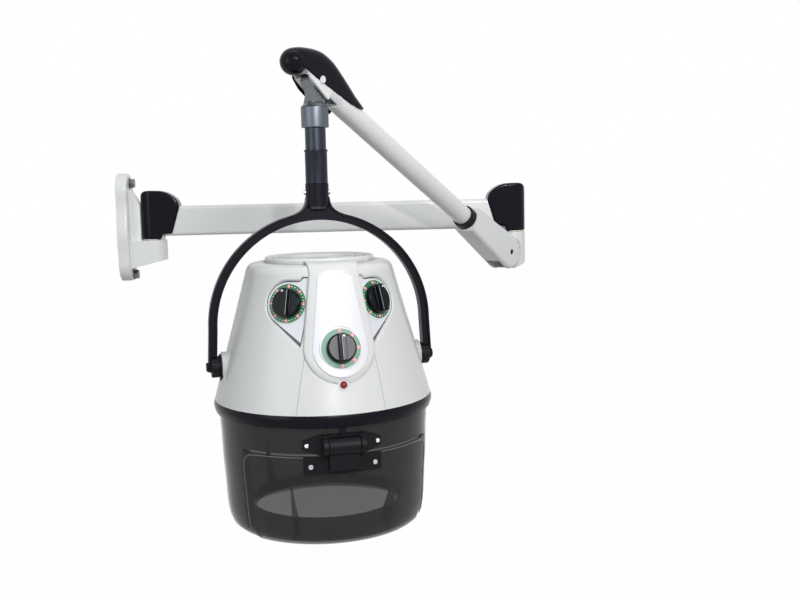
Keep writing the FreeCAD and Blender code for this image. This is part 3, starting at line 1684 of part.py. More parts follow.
def bowl_face():
    outer = [
        Vector(bowl_edge, 0, -2),
        Vector(bowl_edge - 16, 0, 18),
        Vector(bowl_edge - 60, 0, bowl_rise - 9),
        Vector(60, 0, bowl_rise),
        Vector(0, 0, bowl_rise),
    ]
    inner = [Vector(max(p.x - bowl_wall, 0), 0, p.z - bowl_wall) for p in outer]
    return polygon(outer + inner[::-1])


bowl = bowl_face().revolve(ORIGIN, Z, 360)
bowl_flange = ring(bowl_edge + 0.8, bowl_edge - 6, 4.0, Z * -6)
holes = []
for ring_radius in (90.0, 115.0, 140.0):
    for index in range(bowl_holes_per_ring):
        spot = at_angle(index * 360.0 / bowl_holes_per_ring, ring_radius, 0)
        holes.append(cylinder(bowl_hole_radius, bowl_rise + 10, spot))
bowl = fused([bowl, bowl_flange]).cut(group(holes))
bowl = bowl.cut(cylinder(30, bowl_rise + 10))
nodes["inner_bowl"] = on_hood(bowl)

plate_radius = cone_radius(motor_plate_height + motor_plate_thickness) - shell_wall - 0.3
motor_plate = cylinder(plate_radius, motor_plate_thickness, Z * motor_plate_height)
for name in ("temperature", "timer"):
    keep = cylinder(dial_boss_radius + 1, 90, dial_face[name] - dial_out[name] * 52, dial_out[name])
    pocket_room = on_dial(pocket_face(name).makeOffset2D(shell_wall + 0.5).extrude(Z * 2 * pocket_reach), name)
    pocket_room.translate(dial_out[name] * -(shell_wall + 0.5))
    motor_plate = motor_plate.cut(keep).cut(pocket_room)
motor_plate = motor_plate.cut(cylinder(motor_radius + 0.3, 20, Z * (motor_plate_height - 5)))
nodes["motor_plate"] = on_hood(motor_plate)
motor_bottom = motor_plate_height - motor_height + 12
motor = cylinder(motor_radius, motor_height, Z * motor_bottom)
motor_flange = ring(motor_radius + 8, motor_radius - 1, 3.0, Z * (motor_plate_height + motor_plate_thickness))
motor_nose = cylinder(12.0, 6.0, Z * (motor_bottom - 6))
motor = fused([motor, motor_flange, motor_nose])
motor = motor.cut(cylinder(motor_shaft_radius + shaft_clearance, 30, Z * (motor_bottom - 10)))
nodes["fan_motor"] = on_hood(motor)

fan_top = motor_bottom - 6 - running_gap
fan_disc = cylinder(fan_radius, 2.0, Z * (fan_top - 2))
fan_hub = cylinder(10.0, fan_height, Z * (fan_top - fan_height))
fan_rim = ring(fan_radius, fan_radius - 12, 2.0, Z * (fan_top - fan_height))
blades = []
for index in range(fan_blades):
    blade = box((fan_radius - 18, -0.9, fan_top - fan_height), (fan_radius - 1, 0.9, fan_top - 1))
    blade.rotate(Vector(fan_radius - 10, 0, 0), Z, 25)
    blade.rotate(ORIGIN, Z, index * 360.0 / fan_blades)
    blades.append(blade)
fan_shaft = cylinder(motor_shaft_radius, 20, Z * (fan_top - 1))
nodes["fan_wheel"] = on_hood(fused([fan_disc, fan_hub, fan_rim, fan_shaft] + blades))

heater_frame = ring(heater_radius + 6, heater_radius - 6, 3.0, Z * (heater_height - 8))
legs = []
for index in range(3):
    spot = at_angle(60 + index * 120, heater_radius, 0)
    leg = cylinder(3.0, heater_height - 8 - (bowl_rise - 10.5), spot + Z * (bowl_rise - 10.5))
    legs.append(leg)
heater_base = fused([heater_frame] + legs)
heater_base = heater_base.cut(bowl_face().revolve(ORIGIN, Z, 360))
coils = []
for index in range(heater_turns):
    coil = Part.makeTorus(
        heater_radius - 4,
        heater_wire_radius,
        Z * (heater_height - 5 + heater_wire_radius + index * 2 * (heater_wire_radius + 0.1)),
    )
    coils.append(coil)
nodes["heater"] = on_hood(group([heater_base] + coils))

for name, node in (("temperature", "thermostat"), ("timer", "timer_unit"), ("speed", "speed_switch")):
    out = dial_out[name]
    depth_to_wall = speed_dial_lift + shell_wall + 2.0 if name == "speed" else shell_wall
    top = dial_face[name] - out * (depth_to_wall + 0.2)
    half = control_box_half
    unit = box((-half, -half, -control_box_depth), (half, half, 0))
    unit = unit.cut(cylinder(knob_shaft_radius + 0.3, 2 * control_box_depth, Z * -control_box_depth))
    unit.Placement = FreeCAD.Placement(top, FreeCAD.Rotation(Z, out))
    nodes[node] = on_hood(unit)


# ---------- export ----------

os.makedirs("parts", exist_ok=True)
for node, shape in nodes.items():
    shape.exportStep("parts/" + node + ".step")
    print(node, len(shape.Solids), round(shape.Volume), shape.isValid())
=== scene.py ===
import json
import math

import bmesh
import bpy
from mathutils import Matrix, Vector


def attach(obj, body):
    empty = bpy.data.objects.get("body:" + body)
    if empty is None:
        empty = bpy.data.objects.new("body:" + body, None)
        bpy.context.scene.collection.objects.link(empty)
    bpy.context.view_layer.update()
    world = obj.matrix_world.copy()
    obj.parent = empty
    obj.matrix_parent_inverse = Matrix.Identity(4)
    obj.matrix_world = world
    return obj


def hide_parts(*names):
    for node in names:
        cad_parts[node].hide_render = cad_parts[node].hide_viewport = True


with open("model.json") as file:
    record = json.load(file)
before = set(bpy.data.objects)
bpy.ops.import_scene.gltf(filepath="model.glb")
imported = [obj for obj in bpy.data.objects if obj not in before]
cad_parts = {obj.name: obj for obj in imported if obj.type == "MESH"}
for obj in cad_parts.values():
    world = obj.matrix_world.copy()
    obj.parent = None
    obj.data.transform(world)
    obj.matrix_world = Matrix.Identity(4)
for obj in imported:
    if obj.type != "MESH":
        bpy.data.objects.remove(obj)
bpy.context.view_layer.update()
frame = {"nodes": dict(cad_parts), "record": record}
scene = bpy.context.scene
scene.view_settings.view_transform = "Standard"

# ---------------------------------------------------------------- sizes of the part, in mm and degrees

ARM_HEADING = 226.0
ARM_LIFT = 30.5
HOOD_HEADING = 12.0
FIRST_ARM_SPAN = 800.0
LIFT_PIN_OFFSET = 43.0
LIFT_PIN_DROP = 85.0
SECOND_ARM_SPAN = 665.0
PIN_ABOVE_RIM = 564.8

RIM_HEIGHT = 7.0
RIM_RADIUS = 194.4
SHOULDER_HEIGHT = 227.3
SHOULDER_RADIUS = 133.0
CONE_SLOPE = (RIM_RADIUS - SHOULDER_RADIUS) / (SHOULDER_HEIGHT - RIM_HEIGHT)
CONE_LEAN = math.atan(CONE_SLOPE)

MM = Matrix.Scale(0.001, 4)
UNTURNED = Matrix.Identity(4)
UP = Vector((0.0, 0.0, 1.0))
WHITE = (1.0, 1.0, 1.0)


def turn(heading, lift=0.0):
    return Matrix.Rotation(math.radians(heading), 4, "Z") @ Matrix.Rotation(math.radians(-lift), 4, "Y")


WALL_PIVOT = Vector((72.0, 0.0, 16.0))
ELBOW_PIVOT = WALL_PIVOT + Vector((FIRST_ARM_SPAN, 0.0, 0.0))
LIFT_PIVOT = ELBOW_PIVOT + turn(ARM_HEADING) @ Vector((LIFT_PIN_OFFSET, 0.0, -LIFT_PIN_DROP))
LEVEL_PIVOT = LIFT_PIVOT + turn(ARM_HEADING, ARM_LIFT) @ Vector((SECOND_ARM_SPAN, 0.0, 0.0))
HOOD_ORIGIN = LEVEL_PIVOT - UP * PIN_ABOVE_RIM

AT_FIRST_ARM = Matrix.Translation(WALL_PIVOT)
AT_FAR_CAP = Matrix.Translation(ELBOW_PIVOT) @ Matrix.Diagonal((-1.0, 1.0, 1.0, 1.0))
AT_FORK = Matrix.Translation(LEVEL_PIVOT) @ turn(ARM_HEADING, ARM_LIFT)
AT_HEAD = Matrix.Translation(LEVEL_PIVOT) @ turn(ARM_HEADING)
AT_COLUMN = Matrix.Translation(LEVEL_PIVOT) @ turn(HOOD_HEADING)
AT_HOOD = Matrix.Translation(HOOD_ORIGIN) @ turn(HOOD_HEADING)


def cone_radius(height):
    return SHOULDER_RADIUS + CONE_SLOPE * (SHOULDER_HEIGHT - height)


def around(angle, radius, height):
    """A point of the hood from its angle off the front, its radius and its height over the rim."""
    a = math.radians(angle)
    return Vector((radius * math.sin(a), -radius * math.cos(a), height))


def on_cone(angle, height):
    return around(angle, cone_radius(height), height)


def cone_out(angle):
    """The direction square to the cone at an angle off the front."""
    return around(angle, math.cos(CONE_LEAN), math.sin(CONE_LEAN))


def spread(start, end, count):
    """Even steps from start to end, with both of them."""
    return [start + (end - start) * step / count for step in range(count + 1)]


def eased(share):
    """A quarter circle's rise, from 0 at 0 to 1 at 1."""
    return math.sqrt(max(1 - (1 - share) ** 2, 0.0))


def between(stops, place):
    """The value at a place along straight stretches, and the last value past them."""
    for (start, first), (end, second) in zip(stops, stops[1:]):
        if min(start, end) <= place <= max(start, end):
            return first + (second - first) * (place - start) / (end - start)
    return stops[-1][1]


def spline_points(knots, steps):
    """A smooth run through the knots."""
    points = []
    for index in range(len(knots) - 1):
        before = knots[max(index - 1, 0)]
        start, end = knots[index], knots[index + 1]
        after = knots[min(index + 2, len(knots) - 1)]
        for step in range(steps):
            t = step / steps
            point = []
            for a, b, c, d in zip(before, start, end, after):
                square = 2 * a - 5 * b + 4 * c - d
                cube = 3 * b - 3 * c + d - a
                point.append(0.5 * (2 * b + (c - a) * t + square * t**2 + cube * t**3))
            points.append(tuple(point))
    points.append(tuple(knots[-1]))
    return points


# ---------------------------------------------------------------- shader nodes


class Socket:
    """A node socket that can be used in plain arithmetic."""

    def __init__(self, tree, socket):
        self.tree = tree
        self.socket = socket

    def math(self, operation, *others):
        node = self.tree.nodes.new("ShaderNodeMath")
        node.operation = operation
        for index, value in enumerate((self, *others)):
            feed(node.inputs[index], value)
        return Socket(self.tree, node.outputs[0])

    def __add__(self, other):
        return self.math("ADD", other)

    def __mul__(self, other):
        return self.math("MULTIPLY", other)


def feed(entry, value):
    """Links a socket to a node's input, or sets that input to a plain value."""
    if isinstance(value, Socket):
        value.tree.links.new(value.socket, entry)
    elif entry.type == "RGBA":
        entry.default_value = (*value, 1.0)
    else:
        entry.default_value = value


class Nodes:
    """A node tree, with one way to add any node that isn't plain arithmetic."""

    def __init__(self, tree):
        self.tree = tree

    def make(self, kind, output=0, settings=None, **inputs):
        """A new node. An input goes by its name, or by i and its index where names repeat."""
        family = "" if kind.startswith(("Geometry", "Function", "NodeGroup")) else "ShaderNode"
        node = self.tree.nodes.new(family + kind)
        for key, value in (settings or {}).items():
            setattr(node, key, value)
        for key, value in inputs.items():
            name = int(key[1:]) if key[0] == "i" and key[1:].isdigit() else key.replace("_", " ")
            feed(node.inputs[name], value)
        return Socket(self.tree, node.outputs[output])

    def mix(self, factor, first, second):
        return self.make("Mix", 2, {"data_type": "RGBA"}, i0=factor, i6=first, i7=second)

    def seen_directly(self):
        """1 for rays from the camera, a mirror or a glass, and 0 for the rays that light things."""
        camera_ray = self.make("LightPath", output="Is Camera Ray")
        glossy_ray = self.make("LightPath", output="Is Glossy Ray")
        glass_ray = self.make("LightPath", output="Is Transmission Ray")
        return camera_ray.math("MAXIMUM", glossy_ray.math("MAXIMUM", glass_ray))

    def show(self, shader, output):
        feed(self.tree.nodes[output].inputs["Surface"], shader)


class Finish(Nodes):
    """A material with one surface shader and the nodes that vary it."""

    def __init__(self, name, **constants):
        self.material = bpy.data.materials.new(name)
        self.material.use_nodes = True
        super().__init__(self.material.node_tree)
        self.shader = self.tree.nodes["Principled BSDF"]
        for key, value in constants.items():
            self.set(key.replace("_", " "), value)

    def set(self, name, value):
        feed(self.shader.inputs[name], value)

    def place(self, scale=(1.0, 1.0, 1.0), matrix=None):
        """Object coordinates, turned into a piece's own frame and stretched."""
        coords = self.make("TexCoord", output="Object")
        if matrix is not None:
            location, rotation, _ = matrix.inverted().decompose()
            angles = tuple(rotation.to_euler("XYZ"))
            coords = self.make("Mapping", Vector=coords, Location=tuple(location * 0.001), Rotation=angles)
        return self.make("Mapping", Vector=coords, Scale=scale)

    def noise(self, scale, detail=3.0, where=None, roughness=0.5):
        where = where or self.place()
        return self.make("TexNoise", Vector=where, Scale=scale, Detail=detail, Roughness=roughness)

    def bump(self, height, distance, strength=1.0):
        self.set("Normal", self.make("Bump", Height=height, Distance=distance, Strength=strength))


# ---------------------------------------------------------------- finishes


def shade(colour, share):
    return tuple(min(c * share, 1.0) for c in colour)


def painted_casting(name, colour, grain=900.0, depth=0.00012):
    finish = Finish(name, Coat_Weight=0.35, Coat_Roughness=0.12)
    patches = finish.noise(14.0)
    peel = finish.noise(grain, 2.0)
    finish.set("Base Color", finish.mix(patches, shade(colour, 0.965), colour))
    finish.set("Roughness", patches * 0.12 + 0.30)
    finish.bump(peel, depth)
    return finish.material


def moulded_gloss(name, colour, rough=0.22, grain=700.0, depth=0.00003, tint=0.97, sheen=0.5):
    finish = Finish(name, Specular_IOR_Level=sheen)
    cloud = finish.noise(9.0)
    fine = finish.noise(grain, 2.0)
    finish.set("Base Color", finish.mix(cloud, shade(colour, tint), colour))
    finish.set("Roughness", cloud * 0.08 + fine * 0.05 + rough)
    finish.bump(fine, depth)
    return finish.material


def moulded_grain(name, colour, rough=0.48, grain=1600.0, depth=0.00012):
    finish = Finish(name, Specular_IOR_Level=0.13)
    pits = finish.make("TexVoronoi", Vector=finish.place(), Scale=grain)
    cloud = finish.noise(30.0)
    finish.set("Base Color", finish.mix(cloud, shade(colour, 0.8), shade(colour, 1.25)))
    finish.set("Roughness", cloud * 0.14 + rough)
    finish.bump(pits, depth, 0.7)
    return finish.material


def drawn_steel(name, colour, matrix=None, stretch=(1.0, 1.0, 0.03), rough=0.24):
    """Steel with streaks along one direction of the piece."""
    finish = Finish(name, Metallic=1.0)
    lines = finish.noise(260.0, 4.0, finish.place(stretch, matrix), 0.6)
    cloud = finish.noise(22.0)
    finish.set("Base Color", finish.mix(lines, shade(colour, 0.72), shade(colour, 1.2)))
    finish.set("Roughness", lines * 0.18 + cloud * 0.08 + rough)
    finish.bump(lines, 0.00004, 0.6)
    return finish.material


def bright_chrome(name):
    finish = Finish(name, Metallic=1.0)
    cloud = finish.noise(60.0)
    finish.set("Base Color", finish.mix(cloud, (0.74, 0.75, 0.77), (0.88, 0.89, 0.90)))
    finish.set("Roughness", cloud * 0.08 + 0.06)
    return finish.material


def rough_casting(name, colour):
    finish = Finish(name, Metallic=0.85)
    cloud = finish.noise(45.0, 4.0)
    grit = finish.noise(600.0, 3.0)
    finish.set("Base Color", finish.mix(cloud, shade(colour, 0.6), colour))
    finish.set("Roughness", cloud * 0.2 + 0.30)
    finish.bump(grit + cloud * 2.0, 0.0002)
    return finish.material


def smoked_plastic(name, colour, cover, rough=0.06):
    """See-through plastic. A wall has two faces, and each of them covers this share."""
    finish = Finish(name, Specular_IOR_Level=0.25)
    cloud = finish.noise(7.0, 2.0)
    streak = finish.noise(40.0, 3.0, finish.place((1.0, 1.0, 0.12)))
    finish.set("Base Color", finish.mix(cloud, colour, shade(colour, 1.25)))
    finish.set("Roughness", streak * 0.06 + rough)
    finish.set("Alpha", cloud * 0.05 + cover)
    return finish.material


UPRIGHT_STREAKS = (1.0, 1.0, 0.02)
WHITE_CAST = painted_casting("white_cast_paint", (0.72, 0.73, 0.73))
WHITE_ARM = painted_casting("white_arm_paint", (0.71, 0.72, 0.71), 500.0, 0.00005)
SHELL_WHITE = moulded_gloss("shell_white_plastic", (0.62, 0.63, 0.62), 0.24, sheen=0.4)
PANEL_WHITE = moulded_gloss("panel_white_plastic", (0.71, 0.71, 0.74), 0.28)
POCKET_WHITE = moulded_gloss("pocket_white_plastic", (0.66, 0.66, 0.71), 0.30)
# Painted shade: a dark plate that shows in the gap round each side dial's flat, as the groove's shadow.
POCKET_GAP_SHADE = moulded_gloss("groove_shadow", (0.09, 0.09, 0.10), 0.5)
# Painted shade: grey strips down the cone for the shade along the seams.
SEAM_SHADE = moulded_gloss("seam_shadow", (0.28, 0.28, 0.29), 0.5)
MINT_BORDER = moulded_gloss("mint_border", (0.48, 0.66, 0.58), 0.35)
KNOB_STEEL = drawn_steel("speed_knob_face", (0.055, 0.055, 0.058), AT_HOOD, (1.0, 0.03, 1.0), 0.30)
# Painted highlight: a grey line along the edge of each black knob bar.
KNOB_EDGE_HIGHLIGHT = moulded_gloss("knob_edge_painted_highlight", (0.34, 0.36, 0.37), 0.25)
# Painted shade: dark rings for the shade in the crown's vents and well.
VENT_SHADE = moulded_gloss("vent_shadow", (0.16, 0.18, 0.19), 0.45)
# Painted highlight: the flap's edge bead is lighter than the smoke, for the light along that edge.
VISOR_EDGE_HIGHLIGHT = moulded_gloss("visor_edge_painted_highlight", (0.075, 0.070, 0.068), 0.12)
CROWN_GREY = moulded_gloss("crown_grey_plastic", (0.34, 0.38, 0.40), 0.30)
BLACK_GLOSS = moulded_gloss("black_gloss_plastic", (0.003, 0.003, 0.008), 0.10, tint=0.7, sheen=0.13)
BLACK_KNOB = moulded_gloss("black_knob_plastic", (0.004, 0.005, 0.007), 0.14, tint=0.7, sheen=0.12)
BLACK_SATIN = moulded_grain("black_satin_paint", (0.004, 0.004, 0.008), 0.30, 900.0, 0.00008)
BLACK_GRAIN = moulded_grain("black_grained_plastic", (0.006, 0.006, 0.008), 0.38)
BLACK_RUBBER = moulded_gloss("black_rubber", (0.003, 0.003, 0.008), 0.16, 1200.0, 0.00005, 0.7, 0.12)
COLUMN_STEEL = drawn_steel("column_steel", (0.042, 0.049, 0.060), AT_COLUMN, UPRIGHT_STREAKS, 0.20)
SLEEVE_STEEL = drawn_steel("sleeve_steel", (0.028, 0.031, 0.039), AT_COLUMN, UPRIGHT_STREAKS, 0.24)
DARK_BOLT = drawn_steel("wall_bolt_steel", (0.16, 0.16, 0.17))
STEEL = drawn_steel("drawn_steel", (0.55, 0.56, 0.58))
FERRULE_STEEL = drawn_steel("ferrule_steel", (0.130, 0.142, 0.168), AT_HEAD, UPRIGHT_STREAKS, 0.26)
CHROME = bright_chrome("screw_chrome")
KNUCKLE_GREY = rough_casting("knuckle_casting", (0.24, 0.25, 0.27))
SMOKE = smoked_plastic("smoked_visor", (0.018, 0.015, 0.0145), 0.66)
SCALE_GREEN = moulded_gloss("scale_green", (0.012, 0.130, 0.052), 0.30)
SCALE_PALE = moulded_gloss("scale_pale_green", (0.10, 0.26, 0.18), 0.34)
MARK_WHITE = moulded_gloss("mark_white", (0.85, 0.85, 0.85), 0.4)
MARK_PINK = moulded_gloss("mark_pink", (0.80, 0.20, 0.24), 0.4)
LAMP_RED = moulded_gloss("lamp_red", (0.22, 0.004, 0.010), 0.10)
BOWL_GREY = moulded_grain("bowl_plastic", (0.10, 0.10, 0.105), 0.5, 500.0)
COPPER = drawn_steel("heater_wire", (0.62, 0.38, 0.22))
BRONZE = drawn_steel("bush_bronze", (0.60, 0.42, 0.20))

# ---------------------------------------------------------------- camera, light, floor

CAMERA_YAW = math.radians(3.232)
CAMERA_PITCH = math.radians(6.441)
CAMERA_ROLL = math.radians(-1.271)
CAMERA_PLACE = Vector((0.48624, -2.24146, 0.07891))
ARMS_MIDDLE = (0.45, -0.3, -0.1)
SKY_STRENGTH = 0.46
SKY_LOW, SKY_HIGH = (0.14, 0.15, 0.16), (0.95, 0.97, 1.0)
SKY_LOW_BELOW, SKY_HIGH_ABOVE = -0.16, 0.24
FLOOR_LEVEL = -1.65
FLOOR_HALF = 30.0


def camera_matrix():
    right = Vector((math.cos(CAMERA_YAW), -math.sin(CAMERA_YAW), 0.0))
    ahead = Vector((math.sin(CAMERA_YAW), math.cos(CAMERA_YAW), 0.0))
    forward = ahead * math.cos(CAMERA_PITCH) - UP * math.sin(CAMERA_PITCH)
    upward = ahead * math.sin(CAMERA_PITCH) + UP * math.cos(CAMERA_PITCH)
    across = right * math.cos(CAMERA_ROLL) + upward * math.sin(CAMERA_ROLL)
    upright = upward * math.cos(CAMERA_ROLL) - right * math.sin(CAMERA_ROLL)
    matrix = Matrix((across, upright, -forward)).transposed().to_4x4()
    matrix.translation = CAMERA_PLACE
    return matrix


def soft_lamp(name, place, target, size, power, colour=WHITE, width=None):
    lamp = bpy.data.lights.new(name, "AREA")
    lamp.shape = "RECTANGLE" if width else "DISK"
    lamp.size = size
    if width:
        lamp.size_y = width
    lamp.energy = power
    lamp.color = colour
    holder = bpy.data.objects.new(name, lamp)
    scene.collection.objects.link(holder)
    holder.location = place
    holder.rotation_euler = (Vector(target) - Vector(place)).to_track_quat("-Z", "Y").to_euler()


def studio_world():
    """Grey light that is darker from below, and plain white where the background shows."""
    world = bpy.data.worlds.new("studio")
    scene.world = world
    world.use_nodes = True
    sky = Nodes(world.node_tree)
    height = sky.make("SeparateXYZ", output="Z", i0=sky.make("TexCoord", output="Generated"))
    rise = sky.make("MapRange", Value=height, From_Min=SKY_LOW_BELOW, From_Max=SKY_HIGH_ABOVE)
    light = sky.make("Background", Color=sky.mix(rise, SKY_LOW, SKY_HIGH), Strength=SKY_STRENGTH)
    plain = sky.make("Background", Color=WHITE, Strength=1.0)
    sky.show(sky.make("MixShader", i0=sky.seen_directly(), i1=light, i2=plain), "World Output")


def pale_floor():
    work = bmesh.new()
    bmesh.ops.create_grid(work, x_segments=2, y_segments=2, size=FLOOR_HALF)
    for vertex in work.verts:
        vertex.co.z = FLOOR_LEVEL
    mesh = bpy.data.meshes.new("floor")
    work.to_mesh(mesh)
    work.free()
    floor = bpy.data.objects.new("floor", mesh)
    scene.collection.objects.link(floor)
    finish = Finish("floor_white", Base_Color=(0.30, 0.30, 0.30), Roughness=0.9, Specular_IOR_Level=0.1)
    surface = Socket(finish.tree, finish.shader.outputs[0])
    plain = finish.make("Emission", Color=WHITE, Strength=1.0)
    finish.show(
        finish.make("MixShader", i0=finish.seen_directly() * 0.99, i1=surface, i2=plain), "Material Output"
    )
    mesh.materials.append(finish.material)


camera = bpy.data.objects.new("camera", bpy.data.cameras.new("camera"))
scene.collection.objects.link(camera)
camera.data.lens = 45.0
camera.data.sensor_width = 36.0
camera.matrix_world = camera_matrix()
scene.camera = camera
soft_lamp("key", (1.35, -2.3, 1.15), ARMS_MIDDLE, 0.9, 34.0)
soft_lamp("fill", (-1.3, -2.0, 0.5), ARMS_MIDDLE, 1.3, 9.0, (0.92, 0.96, 1.0))
soft_lamp("spark", (0.80, -2.25, 0.60), (0.45, -0.4, -0.1), 0.08, 10.0)
soft_lamp("overhead", (0.45, -0.55, 1.55), (0.45, -0.45, 0.0), 1.5, 2.6, width=0.025)
studio_world()
pale_floor()

# ---------------------------------------------------------------- making pieces

BEVEL_STEPS = 2
MERGE_GAP = 0.00002
CURVED = ("hood_shell", "smoked_shell", "visor_flap", "rim_gasket", "crown_grille", "inner_bowl")
SLOT_OF = {part["node"]: part["material_slot"] for part in frame["record"]["subparts"]}
BODY_OF = {node: body for body, members in frame["record"]["behaviour"]["bodies"].items() for node in members}


def finish_piece(mesh, name, body, material, replaces=(), bevel=0.0, smooth=35.0):
    """Puts a mesh in the scene on its body, with a bevel in mm and smooth up to an angle."""
    piece = bpy.data.objects.new(name, mesh)
    scene.collection.objects.link(piece)
    if not mesh.materials:
        mesh.materials.append(material)
    if bevel:
        modifier = piece.modifiers.new("edge", "BEVEL")
        modifier.width = bevel * 0.001
        modifier.segments = BEVEL_STEPS
        modifier.limit_method = "ANGLE"
        modifier.angle_limit = math.radians(smooth)
    for polygon in mesh.polygons:
        polygon.use_smooth = True
    mesh.set_sharp_from_angle(angle=math.radians(smooth))
    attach(piece, body)
    if replaces:
        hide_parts(*replaces)


def merge(mesh, flat=None):
    """Joins corners that meet and, with an angle in degrees, faces as flat as that."""
    work = bmesh.new()
    work.from_mesh(mesh)
    bmesh.ops.remove_doubles(work, verts=work.verts, dist=MERGE_GAP)
    if flat:
        limit = math.radians(flat)
        bmesh.ops.dissolve_limit(work, angle_limit=limit, verts=work.verts, edges=work.edges)
    work.to_mesh(mesh)
    work.free()


def dress(node, material, bevel):
    """Stands a clean, merged and softened copy in for a plain node of the frame."""
    mesh = frame["nodes"][node].data.copy()
    mesh.materials.clear()
    merge(mesh, None if node in CURVED else 1.0)
    finish_piece(mesh, node + "_dressed", BODY_OF[node], material, (node,), bevel)


def loft(work, rings):
    """Walls between closed rings of corners, and a face at each end."""
    for first, second in zip(rings, rings[1:]):
        for index in range(len(first)):
            after = (index + 1) % len(first)
            work.faces.new((first[index], first[after], second[after], second[index]))
    work.faces.new(rings[0])
    work.faces.new(rings[-1])


def add_prism(work, outline, low, high, axis="Y"):
    """A closed block from an outline of two coordinates, between two levels of the third."""
    rings = []
    for level in (low, high):
        if axis == "Y":
            rings.append([work.verts.new((a, level, b)) for a, b in outline])
        else:
            rings.append([work.verts.new((a, b, level)) for a, b in outline])
    loft(work, rings)


def ring_section(inner, outer, low, high):
    """The section of a plain ring, or of a disc where the inner radius is 0."""
    return [(inner, low), (outer, low), (outer, high), (inner, high)]


def add_lathe(work, profile, steps=72, matrix=UNTURNED):
    """A turned body about Z from its radius and height, closed at the axis."""
    rings = []
    for radius, height in profile:
        if radius < 1e-6:
            rings.append([work.verts.new(matrix @ Vector((0, 0, height)))])
        else:
            ring = []
            for step in range(steps):
                a = 2 * math.pi * step / steps
                place = Vector((radius * math.cos(a), radius * math.sin(a), height))
                ring.append(work.verts.new(matrix @ place))
            rings.append(ring)
    pairs = list(zip(rings, rings[1:]))
    if len(rings[0]) > 1 and len(rings[-1]) > 1:
        pairs.append((rings[-1], rings[0]))
    for first, second in pairs:
        for step in range(steps):
            after = (step + 1) % steps
            if len(first) == 1:
                work.faces.new((first[0], second[step], second[after]))
            elif len(second) == 1:
                work.faces.new((first[step], second[0], first[after]))
            else:
                work.faces.new((first[step], first[after], second[after], second[step]))


def plain_mesh(work, name):
    mesh = bpy.data.meshes.new(name)
    bmesh.ops.recalc_face_normals(work, faces=work.faces)
    work.to_mesh(mesh)
    work.free()
    return mesh


def placed(mesh, matrix):
    mesh.transform(MM @ matrix)
    mesh.materials.clear()
    if matrix.determinant() < 0:
        mesh.flip_normals()
    return mesh


def evaluated_mesh(holder):
    """The mesh of a helper object after its modifiers. The helper goes."""
    scene.collection.objects.link(holder)
    bpy.context.view_layer.update()
    result = bpy.data.meshes.new_from_object(holder.evaluated_get(bpy.context.evaluated_depsgraph_get()))
    bpy.data.objects.remove(holder)
    return result


def with_modifiers(mesh, name, *steps):
    """The mesh after some modifiers, each a kind and its settings."""
    holder = bpy.data.objects.new(name, mesh)
    for kind, settings in steps:
        modifier = holder.modifiers.new(kind, kind)
        for key, value in settings.items():
            setattr(modifier, key, value)
    result = evaluated_mesh(holder)
    result.name = name
    return result


def combined(mesh, name, operation, work):
    """The mesh after a boolean with the body in work."""
    other = bpy.data.objects.new(name + "_other", plain_mesh(work, name + "_other"))
    scene.collection.objects.link(other)
    settings = {"operation": operation, "object": other, "solver": "EXACT"}
    result = with_modifiers(mesh, name, ("BOOLEAN", settings))
    bpy.data.objects.remove(other)
    return result


def melted(mesh, name, voxel, rounds, keep):
    """Soft, moulded edges: rebuilt on an even grid, relaxed and thinned. Sizes in mm."""
    return with_modifiers(
        mesh,
        name,
        ("REMESH", {"mode": "VOXEL", "voxel_size": voxel, "use_smooth_shade": True}),
        ("SMOOTH", {"factor": 0.5, "iterations": rounds}),
        ("DECIMATE", {"ratio": keep}),
    )


def hood_piece(work, name, matrix, body, material, bevel=0.0, smooth=35.0):
    """A finished piece from a body in a frame of the hood."""
    mesh = plain_mesh(work, name)
    mesh.transform(MM @ (AT_HOOD @ matrix))
    finish_piece(mesh, name, body, material, bevel=bevel, smooth=smooth)


# ---------------------------------------------------------------- moulded covers


def cap_mesh(name):
    """The glossy cap over an end of the first arm, its nose pointing along the arm."""
    heel, foot, half = 26.0, -39.5, 26.5
    side = [(-heel, foot), (-heel, 52), (-24, 60), (-17, 66), (-6, 67.2), (19, 66.4), (33, 63)]
    side += [(46, 55.5), (56, 46), (60, 36), (60, 28), (43.5, -25), (43, -28), (22, -28), (19, foot)]
    work = bmesh.new()
    add_prism(work, side, -half, half)
    slab = plain_mesh(work, name + "_slab")
    turns = spread(math.pi / 2, 3 * math.pi / 2, 24)
    plan = [(heel * math.cos(a), heel * math.sin(a)) for a in turns] + [(61, -21), (61, 21)]
    work = bmesh.new()
    add_prism(work, plan, foot, 68.0, "Z")
    block = combined(slab, name + "_block", "INTERSECT", work)
    return melted(block, name, voxel=1.7, rounds=22, keep=0.45)


def arch(half, bottom, top):
    """A squarish arch over a flat foot, from its left corner to its right one."""
    rise = min(top - bottom, 24.0)
    squareness = 0.8
    path = [(-half, bottom)]
    for angle in spread(math.pi, 0.0, 16):
        across, up = math.cos(angle), math.sin(angle)
        y = math.copysign(abs(across) ** squareness, across) * half
        path.append((y, top - rise + rise * abs(up) ** squareness))
    return path + [(half, bottom)]


